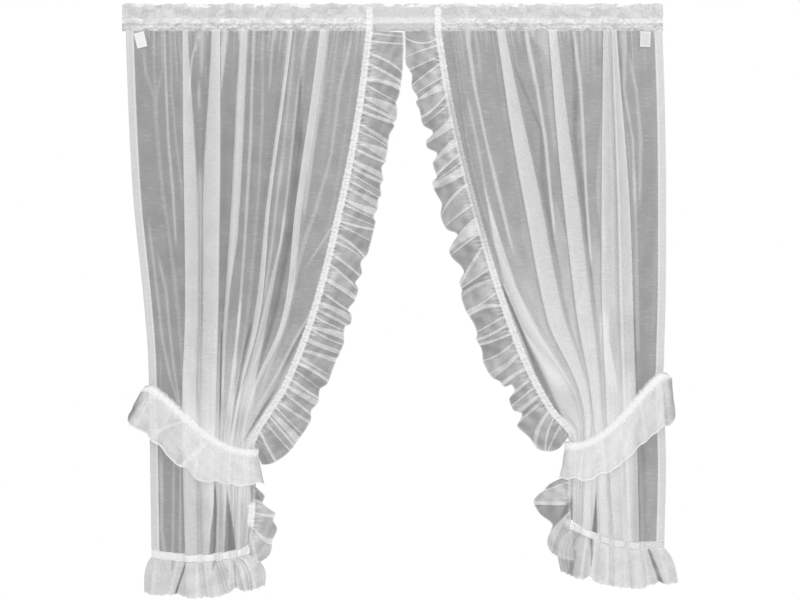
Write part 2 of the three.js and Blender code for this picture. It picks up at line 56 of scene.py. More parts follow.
leftCurtain = {
    "name": "left",
    "side": -1,
    "headingAcross": (-4, 687.8),
    "edges": named(edgeColumns, [
        (0.00, 5, 64, 602, 64),
        (0.13, 11, 238, 579, 243),
        (0.33, 24, 478, 531, 496),
        (0.52, 49, 723, 458, 776),
        (0.62, 59, 845, 398, 928),
        (0.71, 62, 948, 313, 1086),
        (0.85, 65, 1139, 315, 1205),
        (1.00, 68, 1334, 306, 1326),
    ]),
    "folds": named(foldColumns, [
        ("outward", 152, 166, 168, 162, 167, 12, 31, 30, 32, 28),
        ("inward", 226, 215, 213, 208, 207, 20, 41, 38, 36, 26),
        ("ridge", 291, 274, 257, 240, 230, 17, 17, 12, 8, 6),
        ("inward", 409, 354, 327, 262, 248, 8, 9, 14, 16, 12),
        ("ridge", 453, 405, 359, 278, 266, 9, 6, 14, 6, 8),
        ("outward", 492, 431, 396, 291, 282, 18, 16, 13, 6, 8),
    ]),
    "bare": [(0, 0.68), (330, 0.71), (400, 0.82), (600, 0.86)],  # layers where nothing is folded, across it
    # bunched cloth: how far across it begins, the shares of the drop between which it grows, its layers,
    # what becomes of them behind a pleat, and more of them by the tie-back
    "crowd": {"from": 152, "begins": 0.5, "full": 0.74, "layers": 1.3, "inPleat": -0.3, "byTie": 3},
    # creases: extra layers of cloth (less in a slit, partly thinner cloth and partly painted shade between
    # folds), then (drop, across, width) down the line
    "creasesAndShadedSlits": [
        (0.35, [(86, 42, 5), (165, 54, 7), (227, 75, 10), (331, 83, 9), (453, 95, 10), (576, 112, 7),
                (698, 128, 10), (821, 139, 7), (931, 148, 10)]),
        (0.3, [(75, 71, 5), (157, 74, 6), (215, 79, 8)]), (0.3, [(75, 91, 5), (157, 95, 5), (200, 86, 5)]),
        (0.35, [(75, 125, 5), (157, 130, 5)]), (0.4, [(64, 132, 5), (130, 140, 5)]),
        (0.9, [(69, 98, 5), (208, 104, 6), (331, 109, 6), (453, 120, 7), (551, 126, 5)]),
        (0.4, [(86, 114, 7), (208, 117, 6), (331, 128, 6), (453, 142, 7)]),
        (0.6, [(564, 65, 7), (698, 81, 7), (821, 95, 7), (907, 112, 7), (968, 131, 7)]),
        (0.6, [(649, 92, 7), (698, 103, 7), (821, 115, 7), (907, 125, 6), (963, 135, 6)]),
        (0.9, [(441, 188, 12), (576, 188, 9), (698, 187, 6), (821, 186, 5), (919, 186, 5)]),
        (1.0, [(65, 187, 5), (93, 177, 5), (139, 167, 5), (191, 163, 5)]),
        (0.9, [(65, 191, 5), (130, 191, 5), (184, 187, 5), (220, 185, 5)]),
        (0.4, [(80, 200, 4), (180, 201, 4)]),
        (0.4, [(110, 341, 6), (252, 340, 6)]),
        (0.6, [(74, 368, 6), (114, 363, 6), (172, 359, 6)]),
        (0.5, [(130, 415, 7), (245, 403, 7), (336, 393, 7), (417, 386, 7)]),
        (1.4, [(56, 250, 10), (110, 245, 12), (172, 241, 5)]),
        (1.7, [(61, 293, 22), (98, 294, 17), (208, 288, 20), (331, 283, 20), (453, 277, 20), (576, 269, 20),
               (698, 256, 10), (821, 246, 7), (931, 243, 7)]),
        (1.0, [(74, 319, 6), (208, 314, 6), (331, 311, 7), (453, 304, 7), (576, 297, 6), (698, 288, 6),
               (772, 282, 6)]),
        (1.8, [(760, 283, 6), (821, 277, 6), (907, 269, 10), (968, 263, 12)]),
        (0.4, [(282, 339, 7), (453, 331, 7), (576, 321, 7), (698, 310, 10), (821, 295, 6), (907, 283, 6)]),
        (0.7, [(417, 382, 7), (576, 365, 7), (698, 348, 7)]),
        (1.4, [(539, 391, 6), (576, 386, 6), (698, 360, 12), (821, 334, 17), (907, 315, 22), (963, 302, 42)]),
        (0.8, [(69, 452, 10), (98, 444, 10), (208, 427, 6), (331, 414, 6), (453, 402, 6), (576, 386, 6)]),
        (0.5, [(110, 551, 7), (208, 528, 9), (368, 508, 7), (500, 471, 10), (576, 444, 10), (698, 414, 9),
               (821, 380, 12), (907, 351, 10)]),
        (0.7, [(556, 503, 6), (605, 471, 6)]),
        (0.9, [(69, 502, 4), (130, 494, 8), (233, 481, 10), (314, 468, 10), (417, 455, 10), (485, 446, 8)]),
        (0.8, [(784, 440, 6), (821, 419, 7), (907, 375, 7), (968, 339, 7)]),
        (-0.15, [(230, 259, 18), (331, 257, 27), (453, 246, 15), (576, 247, 22), (698, 242, 15),
                 (821, 239, 9), (919, 237, 6)]),
        (-0.5, [(184, 432, 6), (331, 429, 20), (453, 417, 20), (576, 402, 22), (698, 377, 20), (821, 350, 12),
                (907, 327, 6), (948, 322, 5)]),
        (-0.6, [(796, 442, 7), (845, 415, 10), (890, 394, 11)]),
        (-1.4, [(985, 346, 9), (1010, 331, 9), (1036, 315, 7), (1050, 306, 4)]),
        (-2.0, [(850, 240, 4), (960, 238, 4), (990, 237, 3)]),
        (-1.8, [(830, 304, 9), (894, 289, 8), (960, 278, 7), (1020, 268, 4)]),
        (-2.9, [(1198, 225, 5), (1223, 225, 6), (1250, 224, 8), (1286, 221, 11), (1330, 219, 12)]),
        (-2.7, [(1206, 256, 5), (1237, 257, 8), (1262, 258, 14), (1286, 260, 20), (1330, 261, 26)]),
        (-0.5, [(1200, 240, 7), (1323, 240, 10)]),
        (-0.4, [(1120, 180, 64), (1330, 180, 64)]),
        (0.6, [(1144, 92, 10), (1213, 94, 9), (1286, 93, 7), (1330, 99, 10)]),
        (0.5, [(1144, 122, 7), (1250, 121, 7), (1330, 120, 7)]),
        (0.6, [(1144, 139, 6), (1330, 138, 6)]),
        (-0.35, [(1144, 146, 10), (1330, 149, 10)]),
    ],
    # ruffle: how far its flutes turn down (or up), by length past the tie-back
    "fan": [(-1080, -0.38), (-1010, -0.22), (-930, 0), (-160, 0), (-90, 0.07), (-56, 0.28), (-36, 0.48),
            (-22, 0.62), (-8, 0.6), (122, 0), (180, 0.1), (205, 0.35), (222, 0.95), (240, 1.5)],
    # its free edge: length down the band, then depth there
    "freeEdge": [(0, 84), (30, 89), (62, 92), (120, 95), (140, 90), (152, 96), (176, 98), (186, 92),
                 (192, 95), (226, 87), (282, 90), (300, 82), (326, 92), (344, 88), (362, 94), (374, 90),
                 (394, 94), (418, 88), (428, 96), (454, 96), (506, 94), (536, 83), (556, 92), (586, 82),
                 (594, 94), (624, 92), (652, 83), (656, 92), (676, 99), (692, 87), (728, 98), (778, 94),
                 (824, 96), (848, 84), (876, 94), (896, 88), (904, 96), (916, 102), (972, 103),
                 (1016, 94), (1036, 79), (1050, 64), (1060, 48), (1068, 28), (1076, 8), (1158, 6),
                 (1180, 32), (1198, 27), (1207, 45), (1211, 61), (1226, 57), (1240, 70), (1266, 64),
                 (1280, 72), (1292, 66), (1302, 74), (1313, 92)],
    # its pleats: length down the band at the band, half way out and at the free edge, width at the
    # band and at the edge, and layers of the face that follows
    "pleats": [
        (7, 8, 9, 3, 1, 1.0), (25, 26, 25, 2.5, 2.5, 1.05), (55, 64, 79, 4, 4, 0.85), (80, 88, 98, 4, 5, 1.1),
        (115, 108, 110, 5, 7, 0.8), (130, 134, 138, 3, 1, 0.8), (160, 158, 162, 5, 22, 0.8),
        (177, 176, 177, 5, 6, 0.8), (196, 191, 186, 5, 8, 0.75), (226, 231, 237, 5, 8, 0.8),
        (244, 243, 247, 2, 2, 0.8), (271, 267, 268, 4, 21, 0.9), (288, 288, 285, 4, 5, 0.8),
        (319, 318, 319, 6, 12, 0.8), (334, 335, 333, 5, 7, 0.8), (350, 352, 354, 2, 1, 0.85),
        (367, 368, 370, 4, 2, 0.8), (386, 386, 387, 3, 13, 1.1), (415, 412, 406, 4, 14, 1.1),
        (427, 424, 422, 3, 1, 0.85), (446, 442, 436, 2.5, 0.5, 1.0), (468, 459, 446, 4, 4, 0.85),
        (478, 476, 476, 3, 0.5, 0.8), (505, 506, 518, 6, 3, 0.95), (522, 519, 526, 3, 0.5, 1.1),
        (552, 557, 565, 5, 4, 0.75), (578, 585, 596, 3, 4, 1.3), (615, 615, 617, 7, 9, 0.75),
        (648, 651, 653, 5, 4, 0.65), (674, 668, 666, 6, 12, 0.95), (692, 688, 685, 5, 5, 0.75),
        (711, 706, 700, 3, 1, 0.8), (736, 722, 711, 4, 12, 0.85), (742, 738, 728, 3, 2, 0.9),
        (769, 760, 748, 7, 8, 0.75), (796, 782, 770, 5, 8, 1.05), (816, 812, 806, 3, 0.5, 1.0),
        (830, 823, 821, 5, 4, 0.75), (850, 848, 846, 3, 0.5, 0.75), (875, 871, 867, 4, 3, 1.2),
        (893, 885, 877, 5, 10, 0.95), (911, 905, 902, 2.5, 3, 0.9), (935, 926, 915, 4, 4, 1.0),
        (950, 948, 944, 3, 1, 1.0), (967, 962, 960, 7, 11, 0.9), (978, 975, 972, 3, 4, 0.9),
        (994, 991, 986, 3, 2, 0.9), (1020, 1020, 1018, 4, 3, 0.8), (1196, 1198, 1200, 3, 4, 1.4),
        (1228, 1224, 1218, 3, 6, 1.3), (1263, 1270, 1266, 3, 6, 1.4), (1286, 1292, 1296, 3, 8, 1.6),
    ],
    # its slits, as the panel's: fewer layers, partly thinner cloth and partly painted shade between flutes
    "ruffleShadedSlits": [(-1.2, [(1176, 294, 4), (1190, 310, 8), (1204, 326, 5)])],
    # its band: how much of it shows, by length down it
    "bandShown": [(0, 1), (1060, 1), (1090, 0.3), (1200, 0.3), (1212, 1.4), (1255, 1.4), (1268, 0.4),
                  (1312, 0.4)],
    "hemSag": 15,
    "hemRuffle": {"outerDepth": 88, "leadDepth": 78, "outerFlare": 18, "leadFlare": 44, "bulge": 24,
                  "layers": 2.5, "leadThin": 1, "band": 4.4, "leadBand": 4.4},
    # hem ruffle: extra layers, then (share of its depth, across, width) down each line; fewer layers make a
    # slit, partly thinner cloth and partly painted shade between folds
    "hemCreasesAndShadedSlits": [
        (0.9, [(0.1, 78, 6), (1, 70, 12)]), (-1.2, [(0, 122, 10), (0.28, 118, 3)]),
        (0.8, [(0, 134, 4), (1, 112, 8)]), (-2.3, [(0, 153, 3), (0.3, 145, 5), (1, 126, 6)]),
        (0.9, [(0.1, 182, 5), (1, 183, 12)]), (0.8, [(0, 200, 4), (1, 208, 9)]),
        (-1.8, [(0, 223, 9), (0.2, 221, 3)]), (-1.3, [(0.1, 272, 2), (1, 276, 5)]),
        (0.9, [(0, 262, 4), (1, 258, 8)]), (1.0, [(0, 284, 4), (1, 300, 10)]),
        (0.8, [(0, 296, 3), (1, 326, 8)]),
    ],
    # where its edge is cut back (or runs lower): place across, half width, height
    "hemNotches": [(276, 12, 12), (130, 8, 3), (75, 16, -2), (200, 40, -3)],
    # tie-back: "edgeLost" is where its free edge can't be told from the cloth behind it, and
    # "deeper" where its ruffle hangs lower (place across, half width, by how much)
    "tie": {"outer": 68, "inner": 312, "outerDrop": 940, "innerDrop": 1096,
            "outerDepth": 94, "innerDepth": 70, "outerLean": 0.46, "innerLean": -0.06, "endRise": 0.32,
            "layers": 2.1, "edgeLost": (150, 262), "deeper": [(132, 26, 15), (196, 40, 18)]},
    # tie ruffle: extra layers, then (share of its depth, across, width) down each line; fewer layers make a
    # slit, partly thinner cloth and partly painted shade between folds
    "tieCreasesAndShadedSlits": [
        (1.2, [(0.1, 206, 5), (1, 146, 9)]), (0.9, [(0.05, 146, 5), (0.75, 84, 8)]),
        (0.6, [(0.2, 194, 6), (0.9, 178, 10)]), (-0.6, [(0.15, 128, 16), (0.9, 92, 14)]),
        (-0.5, [(0.3, 176, 18), (1, 136, 10)]), (0.6, [(0.1, 262, 6), (1, 262, 9)]),
        (0.7, [(0.1, 296, 5), (1, 304, 8)]), (-0.9, [(0.05, 62, 6), (0.5, 38, 8), (0.95, 18, 8)]),
        (0.7, [(0.05, 76, 5), (0.5, 54, 6), (0.95, 34, 8)]),
    ],
    "tab": {"across": 42, "drop": 85.8, "tilt": 0.24, "layers": 1.2},
}

rightCurtain = {
    "name": "right",
    "side": 1,
    "headingAcross": (3, 637),
    "edges": named(edgeColumns, [
        (0.00, 5, 64, 555, 64),
        (0.13, -1, 238, 525, 243),
        (0.33, -4, 478, 465, 496),
        (0.52, -3, 723, 379, 776),
        (0.62, 0, 833, 320, 917),
        (0.665, 1, 875, 278, 990),
        (0.71, 3, 914, 226, 1058),
        (0.85, -4, 1115, 228, 1180),
        (1.00, 0, 1312, 229, 1264),
    ]),
    "folds": named(foldColumns, [
        ("outward", 124, 101, 94, 87, 76, 10, 27, 30, 30, 24),
        ("inward", 144, 140, 138, 128, 112, 10, 27, 30, 30, 26),
        ("inward", 273, 228, 197, 163, 146, 20, 37, 38, 20, 22),
        ("inward", 400, 321, 268, 187, 190, 20, 42, 42, 14, 20),
        ("ridge", 520, 445, 334, 203, 208, 5, 8, 30, 4, 4),
    ]),
    "bare": [(0, 0.86), (220, 0.91), (330, 0.88), (560, 0.87)],
    "crowd": {"from": 84, "begins": 0.3, "full": 0.8, "layers": 1.7, "inPleat": -0.2, "byTie": 2.0},
    "creasesAndShadedSlits": [
        (1.2, [(61, 481, 10), (98, 479, 10), (208, 463, 7), (331, 437, 6), (453, 408, 10), (564, 381, 7)]),
        (0.7, [(257, 476, 7), (331, 460, 7), (453, 438, 7), (539, 417, 10)]),
        (1.7, [(490, 431, 3), (527, 422, 10), (576, 410, 18), (698, 375, 28), (821, 316, 37),
               (907, 266, 44)]),
        (1.6, [(61, 339, 7), (98, 333, 10), (208, 311, 7), (331, 291, 7), (453, 280, 6), (527, 272, 6)]),
        (1.4, [(56, 223, 7), (98, 217, 7), (208, 204, 7), (331, 198, 7), (453, 192, 6), (600, 182, 6)]),
        (0.8, [(61, 101, 10), (98, 97, 11), (208, 98, 6), (331, 77, 6), (453, 73, 7)]),
        (0.5, [(429, 73, 7), (576, 68, 7), (698, 67, 10), (821, 65, 9)]),
        (0.6, [(159, 79, 7), (208, 68, 7), (331, 57, 10), (453, 60, 7)]),
        (0.4, [(514, 266, 20), (576, 253, 32), (698, 237, 20), (821, 217, 6)]),
        (0.5, [(612, 168, 22), (698, 164, 20), (784, 153, 15)]),
        (1.4, [(784, 148, 20), (821, 148, 20), (907, 133, 24)]),
        (0.2, [(514, 344, 20), (576, 337, 24), (637, 319, 15)]),
        (0.2, [(698, 329, 40), (821, 283, 24), (870, 266, 15)]),
        (0.5, [(306, 154, 7), (453, 160, 15), (576, 150, 10)]),
        (0.4, [(69, 295, 15), (208, 284, 17), (331, 270, 10)]),
        (0.5, [(64, 298, 70), (90, 294, 46), (112, 288, 12)]),
        (1.3, [(64, 134, 14), (478, 120, 19), (723, 116, 21), (948, 107, 18), (1312, 93, 18)]),
        (-0.3, [(64, 134, 30), (478, 120, 74), (723, 116, 80), (880, 108, 78)]),
        (-0.5, [(790, 112, 80), (900, 108, 78), (1300, 95, 70)]),
        (-0.35, [(184, 354, 6), (306, 302, 6), (453, 294, 17), (576, 273, 7), (620, 263, 6)]),
        (-0.4, [(81, 224, 6), (208, 217, 12), (331, 220, 12), (453, 202, 15), (576, 190, 7), (698, 174, 6)]),
        (-0.2, [(81, 109, 10), (208, 105, 7), (270, 94, 7)]),
        (-1.7, [(735, 378, 6), (821, 342, 10), (907, 305, 20), (968, 275, 15), (1027, 246, 10)]),
        (-0.12, [(331, 43, 29), (453, 43, 44), (576, 41, 44), (821, 40, 42), (968, 40, 34), (1102, 38, 37),
                (1298, 33, 27)]),
        (-2.6, [(1225, 169, 4), (1250, 170, 8), (1286, 172, 13), (1311, 172, 14)]),
        (-0.2, [(1102, 52, 9), (1298, 46, 9)]),
        (0.2, [(1160, 32, 54), (1300, 30, 54)]),
    ],
    "fan": [(-1060, -0.44), (-1000, -0.22), (-920, 0), (-190, 0), (-90, 0.06), (-60, 0.16), (-44, 0.26),
            (-29, 0.3), (-16, 0.3), (88, 0), (114, 0), (155, 0.15), (182, 0.6), (206, 1.4)],
    "freeEdge": [(0, 82), (30, 87), (58, 91), (84, 81), (106, 88), (130, 78), (140, 85), (164, 79),
                 (186, 80), (202, 75), (224, 58), (230, 61), (234, 79), (246, 81), (278, 59), (283, 63),
                 (292, 76), (328, 73), (332, 87), (340, 89), (392, 79), (414, 89), (434, 88), (454, 82),
                 (478, 61), (486, 68), (496, 88), (506, 93), (566, 71), (578, 87), (590, 91), (602, 90),
                 (608, 96), (644, 97), (696, 87), (714, 89), (720, 96), (748, 92), (780, 99), (820, 93),
                 (836, 81), (854, 75), (860, 57), (870, 55), (879, 62), (882, 79), (906, 83), (928, 69),
                 (932, 77), (938, 96), (972, 88), (984, 95), (1002, 86), (1014, 74), (1029, 52),
                 (1042, 26), (1052, 7), (1148, 6), (1158, 52), (1170, 70), (1188, 96), (1196, 95),
                 (1214, 83), (1234, 61), (1237, 72), (1241, 94), (1252, 105), (1265, 99)],
    "pleats": [
        (22, 26, 12, 2, 3, 1.15), (36, 42, 50, 3, 0.5, 1.15), (62, 68, 73, 1, 2, 0.75),
        (80, 92, 104, 3, 2, 1.15), (112, 116, 122, 2, 1, 0.85), (131, 133, 135, 15, 3, 1.15),
        (158, 173, 177, 4, 4, 0.8), (182, 189, 196, 3, 0.5, 0.75), (225, 231, 236, 19, 9, 0.75),
        (273, 279, 288, 17, 7, 1.2), (306, 313, 322, 3.5, 4, 0.75), (326, 331, 334, 2.5, 1, 1.0),
        (346, 346, 341, 17, 12, 0.8), (383, 392, 414, 5, 6, 1.1), (433, 437, 444, 3, 1, 0.9),
        (484, 487, 500, 30, 6, 1.0), (505, 508, 514, 3, 1, 0.75), (540, 562, 586, 6, 10, 1.3),
        (594, 595, 596, 2, 2, 0.55), (622, 612, 612, 5, 8, 1.1), (655, 656, 652, 2.5, 1, 1.0),
        (686, 665, 658, 5, 12, 0.85), (715, 712, 708, 2.5, 1, 0.95), (737, 733, 723, 3.5, 4, 0.95),
        (760, 750, 736, 4, 4, 0.75), (783, 784, 774, 3, 1, 1.2), (814, 817, 812, 5, 13, 1.0),
        (853, 847, 845, 5, 7, 1.0), (881, 880, 878, 4, 5, 0.8), (904, 900, 898, 2, 2, 1.0),
        (927, 921, 918, 5, 9, 0.6), (942, 938, 934, 4, 3, 0.95), (971, 973, 982, 4, 5, 0.95),
        (990, 991, 1000, 3, 2, 0.8), (1012, 1006, 1004, 3, 1, 0.95), (1168, 1170, 1172, 2, 3, 1.6),
        (1216, 1204, 1193, 4, 5, 0.7), (1240, 1241, 1243, 4, 8, 1.5),
    ],
    "ruffleShadedSlits": [(-1.0, [(1196, 229, 2), (1222, 234, 10), (1250, 243, 18)])],
    "bandShown": [(0, 1), (130, 0.8), (190, 0.5), (470, 0.45), (560, 0.75), (620, 1), (1045, 1), (1080, 0.55),
                  (1195, 0.5), (1222, 0.15), (1265, 0.2)],
    "hemSag": 20,
    "hemRuffle": {"outerDepth": 84, "leadDepth": 104, "outerFlare": 34, "leadFlare": 28, "bulge": 24,
                  "layers": 2.7, "leadThin": 0.56, "band": 2.6, "leadBand": 4.4},
    "hemCreasesAndShadedSlits": [
        (-2.3, [(0, 38, 4), (0.4, 26, 9), (1, 8, 12)]), (0.9, [(0, 52, 4), (1, 36, 8)]),
        (0.7, [(0, 12, 5), (1, -10, 8)]), (0.7, [(0.1, 96, 6), (1, 92, 14)]),
        (0.6, [(0.1, 140, 5), (1, 142, 12)]),
        (-1.8, [(0, 180, 9), (0.4, 178, 4), (0.7, 180, 2)]), (0.9, [(0, 170, 4), (1, 178, 8)]),
        (0.9, [(0, 192, 4), (1, 206, 9)]), (-0.9, [(0.4, 222, 8), (1, 232, 10)]),
    ],
    "hemNotches": [(12, 10, 6), (186, 9, 10), (92, 40, -4)],
    "tie": {"outer": 7.8, "inner": 226, "outerDrop": 908, "innerDrop": 1080,
            "outerDepth": 114, "innerDepth": 72, "outerLean": 0.06, "innerLean": -0.04, "endRise": 0.2,
            "layers": 2.0, "edgeLost": (0, 1), "deeper": [(120, 40, 3)]},
    "tieCreasesAndShadedSlits": [
        (0.7, [(0.05, 62, 5), (0.9, 50, 9)]), (0.7, [(0.05, 112, 5), (0.9, 98, 10)]),
        (0.6, [(0.05, 158, 5), (0.95, 150, 9)]), (-0.5, [(0.2, 84, 14), (0.9, 74, 14)]),
        (0.7, [(0.1, 204, 5), (1, 214, 8)]), (-0.7, [(0.1, 9, 6), (0.5, 5, 8), (0.95, 1, 8)]),
    ],
    "tab": {"across": 47, "drop": 84, "tilt": 0.04, "layers": 0.5},
}
curtains = (leftCurtain, rightCurtain)


def mixed(start, end, share):
    return start + (end - start) * share


def ramp(low, high, value):
    part = np.clip((value - low) / (high - low), 0, 1)
    return part * part * (3 - 2 * part)


# a soft bump, 1 in its middle
def bell(away, width):
    return np.exp(-(away / width) ** 2)


# an uneven wave without chance in it
def scallop(along, length, slowLength, turn):
    return np.sin(along / length + turn * np.sin(along / slowLength))


# how far along a section each of its points lies
def lengthAlong(across, depth):
    steps = np.hypot(np.diff(across), np.diff(depth))
    return np.concatenate([np.zeros_like(steps[..., :1]), np.cumsum(steps, -1)], -1)


# a smooth curve through a table's values that never swings past them
def through(places, values, at):
    places, values = np.asarray(places, float), np.asarray(values, float)
    span = np.diff(places)
    rate = np.diff(values) / span
    before, after = np.append(rate[:1], rate), np.append(rate, rate[-1:])
    steepest = 3 * np.minimum(abs(before), abs(after))
    slope = np.sign(before) * np.minimum(abs(before + after) / 2, steepest)
    slope = np.where(before * after > 0, slope, 0)
    index = np.clip(np.searchsorted(places, at) - 1, 0, len(span) - 1)
    part = (at - places[index]) / span[index]
    rise = values[index + 1] - values[index]
    start, end = slope[index] * span[index], slope[index + 1] * span[index]
    bend, twist = 3 * rise - 2 * start - end, start + end - 2 * rise
    return values[index] + start * part + bend * part**2 + twist * part**3


def curveAt(rows, at):
    places, values = zip(*rows)
    return through(places, values, np.clip(at, places[0], places[-1]))


lineSides = {"share": 0.66, "least": 0.9, "most": 2.5}  # how soft a line's sides are, from half its width


# how strongly a given line shows at every point of a sheet: soft sides, and ends that fade
def lineShare(line, across, down, fade, softest=lineSides["most"]):
    downs, places, widths = zip(*line)
    half = np.interp(down, downs, widths) / 2
    soft = np.clip(half * lineSides["share"], lineSides["least"], softest)
    above, below = np.minimum(down - downs[0], 0), np.maximum(down - downs[-1], 0)
    middle = np.interp(down, downs, places) + above * (places[1] - places[0]) / (downs[1] - downs[0])
    middle = middle + below * (places[-1] - places[-2]) / (downs[-1] - downs[-2])
    beside = 1 - ramp(half - soft, half + soft, abs(across - middle))
    return beside * ramp(downs[0] - fade, downs[0], down) * (1 - ramp(downs[-1], downs[-1] + fade, down))


gatherRange = {"spacing": (0.5, 1.5), "spare": 1.3, "length": (0.25, 1), "shorter": 1.6,
               "strength": (0.35, 1)}


# fine gathers: threads that run out from a row of stitches and die away, each its own length
def gathers(along, reach, total, look):
    count = int(total / look["pitch"] * gatherRange["spare"])
    places = np.cumsum(chance.uniform(*gatherRange["spacing"], count) * look["pitch"])
    places = places[places < total]
    lengths = look["length"] * chance.uniform(*gatherRange["length"], len(places)) ** gatherRange["shorter"]
    sizes = look["layers"] * chance.uniform(*gatherRange["strength"], len(places))
    found = np.zeros(np.broadcast(along, reach).shape)
    for place, length, size in zip(places, lengths, sizes):
        found += size * bell(along - place, look["width"]) * np.clip(1 - reach / length, 0, 1)
    return found


# slow waves along a sheet, never quite repeating
def waver(along, lengths, drift=0):
    starts = chance.uniform(0, 2 * math.pi, len(lengths))
    return sum(np.sin(2 * math.pi * along / length + start + drift * (index + 1))
               for index, (length, start) in enumerate(zip(lengths, starts))) / len(lengths)


mottleWaves = {"count": 7, "length": (0.6, 1.7), "evenOut": 3.2}


# soft unevenness in every direction, between -1 and 1
def mottle(along, down, size):
    found = 0
    for _ in range(mottleWaves["count"]):
        way, length = chance.uniform(0, math.pi), size * chance.uniform(*mottleWaves["length"])
        wave = (along * math.cos(way) + down * math.sin(way)) / length
        found = found + np.sin(2 * math.pi * (wave + chance.uniform(0, 1)))
    return np.clip(found / mottleWaves["evenOut"], -1, 1)


# crumpled cloth: angular patches, each with its own height between -1 and 1
def patches(along, down, wide, high):
    columns, rows = int(np.ptp(along) / wide) + 2, int(np.ptp(down) / high) + 2
    x = np.min(along) / wide + np.arange(columns) + chance.uniform(0, 1, (rows, columns))
    y = np.min(down) / high + np.arange(rows)[:, None] + chance.uniform(0, 1, (rows, columns))
    values = chance.uniform(-1, 1, x.size)
    along, down = np.broadcast_arrays(along / wide, down / high)
    nearest, found = np.full(along.shape, np.inf), np.zeros(along.shape)
    for px, py, value in zip(x.ravel(), y.ravel(), values):
        away = (along - px) ** 2 + (down - py) ** 2
        found = np.where(away < nearest, value, found)
        nearest = np.minimum(nearest, away)
    return found


thinnest = 0.25  # layers of cloth that are left at the barest point


# makes the sheet from a grid, and keeps how many layers of cloth lie together at each point
def makeSheet(name, curtain, across, depth, drop, clothAcross, clothDown, layers, finish, inside=False):
    rows, columns = across.shape
    shape = bmesh.new()
    bmesh.ops.create_grid(shape, x_segments=columns - 1, y_segments=rows - 1, size=0.5)
    mesh = bpy.data.meshes.new(name)
    shape.to_mesh(mesh)
    shape.free()
    start = np.empty(len(mesh.vertices) * 3, np.float32)
    mesh.vertices.foreach_get("co", start)
    start = start.reshape(-1, 3)
    low, high = start.min(0), start.max(0)
    column = np.rint((start[:, 0] - low[0]) / (high[0] - low[0]) * (columns - 1)).astype(int)
    row = np.rint((high[1] - start[:, 1]) / (high[1] - low[1]) * (rows - 1)).astype(int)
    if (curtain["side"] > 0) != inside:  # keeps the faces turned to the front, or outwards on a loop
        column = columns - 1 - column
    place = np.stack([curtain["side"] * (halfWidth - across), depth, -drop], -1) / 1000
    mesh.vertices.foreach_set("co", place[row, column].astype(np.float32).ravel())
    loopPoint = np.empty(len(mesh.loops), np.int32)
    mesh.loops.foreach_get("vertex_index", loopPoint)
    cloth = np.stack(np.broadcast_arrays(clothAcross, clothDown), -1) / 1000
    clothMap = mesh.uv_layers.new(name="cloth")
    clothMap.data.foreach_set("uv", cloth[row, column][loopPoint].astype(np.float32).ravel())
    kept = mesh.attributes.new("layers", "FLOAT", "POINT")
    layers = np.maximum(np.broadcast_to(layers, across.shape), thinnest)
    kept.data.foreach_set("value", layers[row, column].astype(np.float32))
    mesh.polygons.foreach_set("use_smooth", np.ones(len(mesh.polygons), bool))
    mesh.update()
    piece = bpy.data.objects.new(name, mesh)
    bpy.context.scene.collection.objects.link(piece)
    mesh.materials.append(finish)
    return piece


def settle(piece, node):
    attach(piece, "root")
    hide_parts(node)


def forBoth(stage, *makers):
    for curtain in curtains:
        for make in makers:
            make(curtain)
    print(stage, "made")


# Materials

def linear(hexColour):
    values = [int(hexColour[at:at + 2], 16) / 255 for at in (0, 2, 4)]
    return [v / 12.92 if v <= 0.04045 else ((v + 0.055) / 1.055) ** 2.4 for v in values] + [1]


def addNode(tree, kind, links=None, **settings):
    node = tree.nodes.new(kind)
    for key, value in settings.items():
        setattr(node, key, value)
    for socket, value in (links or {}).items():
        if hasattr(value, "is_linked"):
            tree.links.new(value, node.inputs[socket])
        else:
            node.inputs[socket].default_value = value
    return node


def newMaterial(name):
    material = bpy.data.materials.new(name)
    material.use_nodes = True
    material.node_tree.nodes.clear()
    return material, material.node_tree


oneWave = 0.31  # the scale at which a wave texture repeats once in each unit


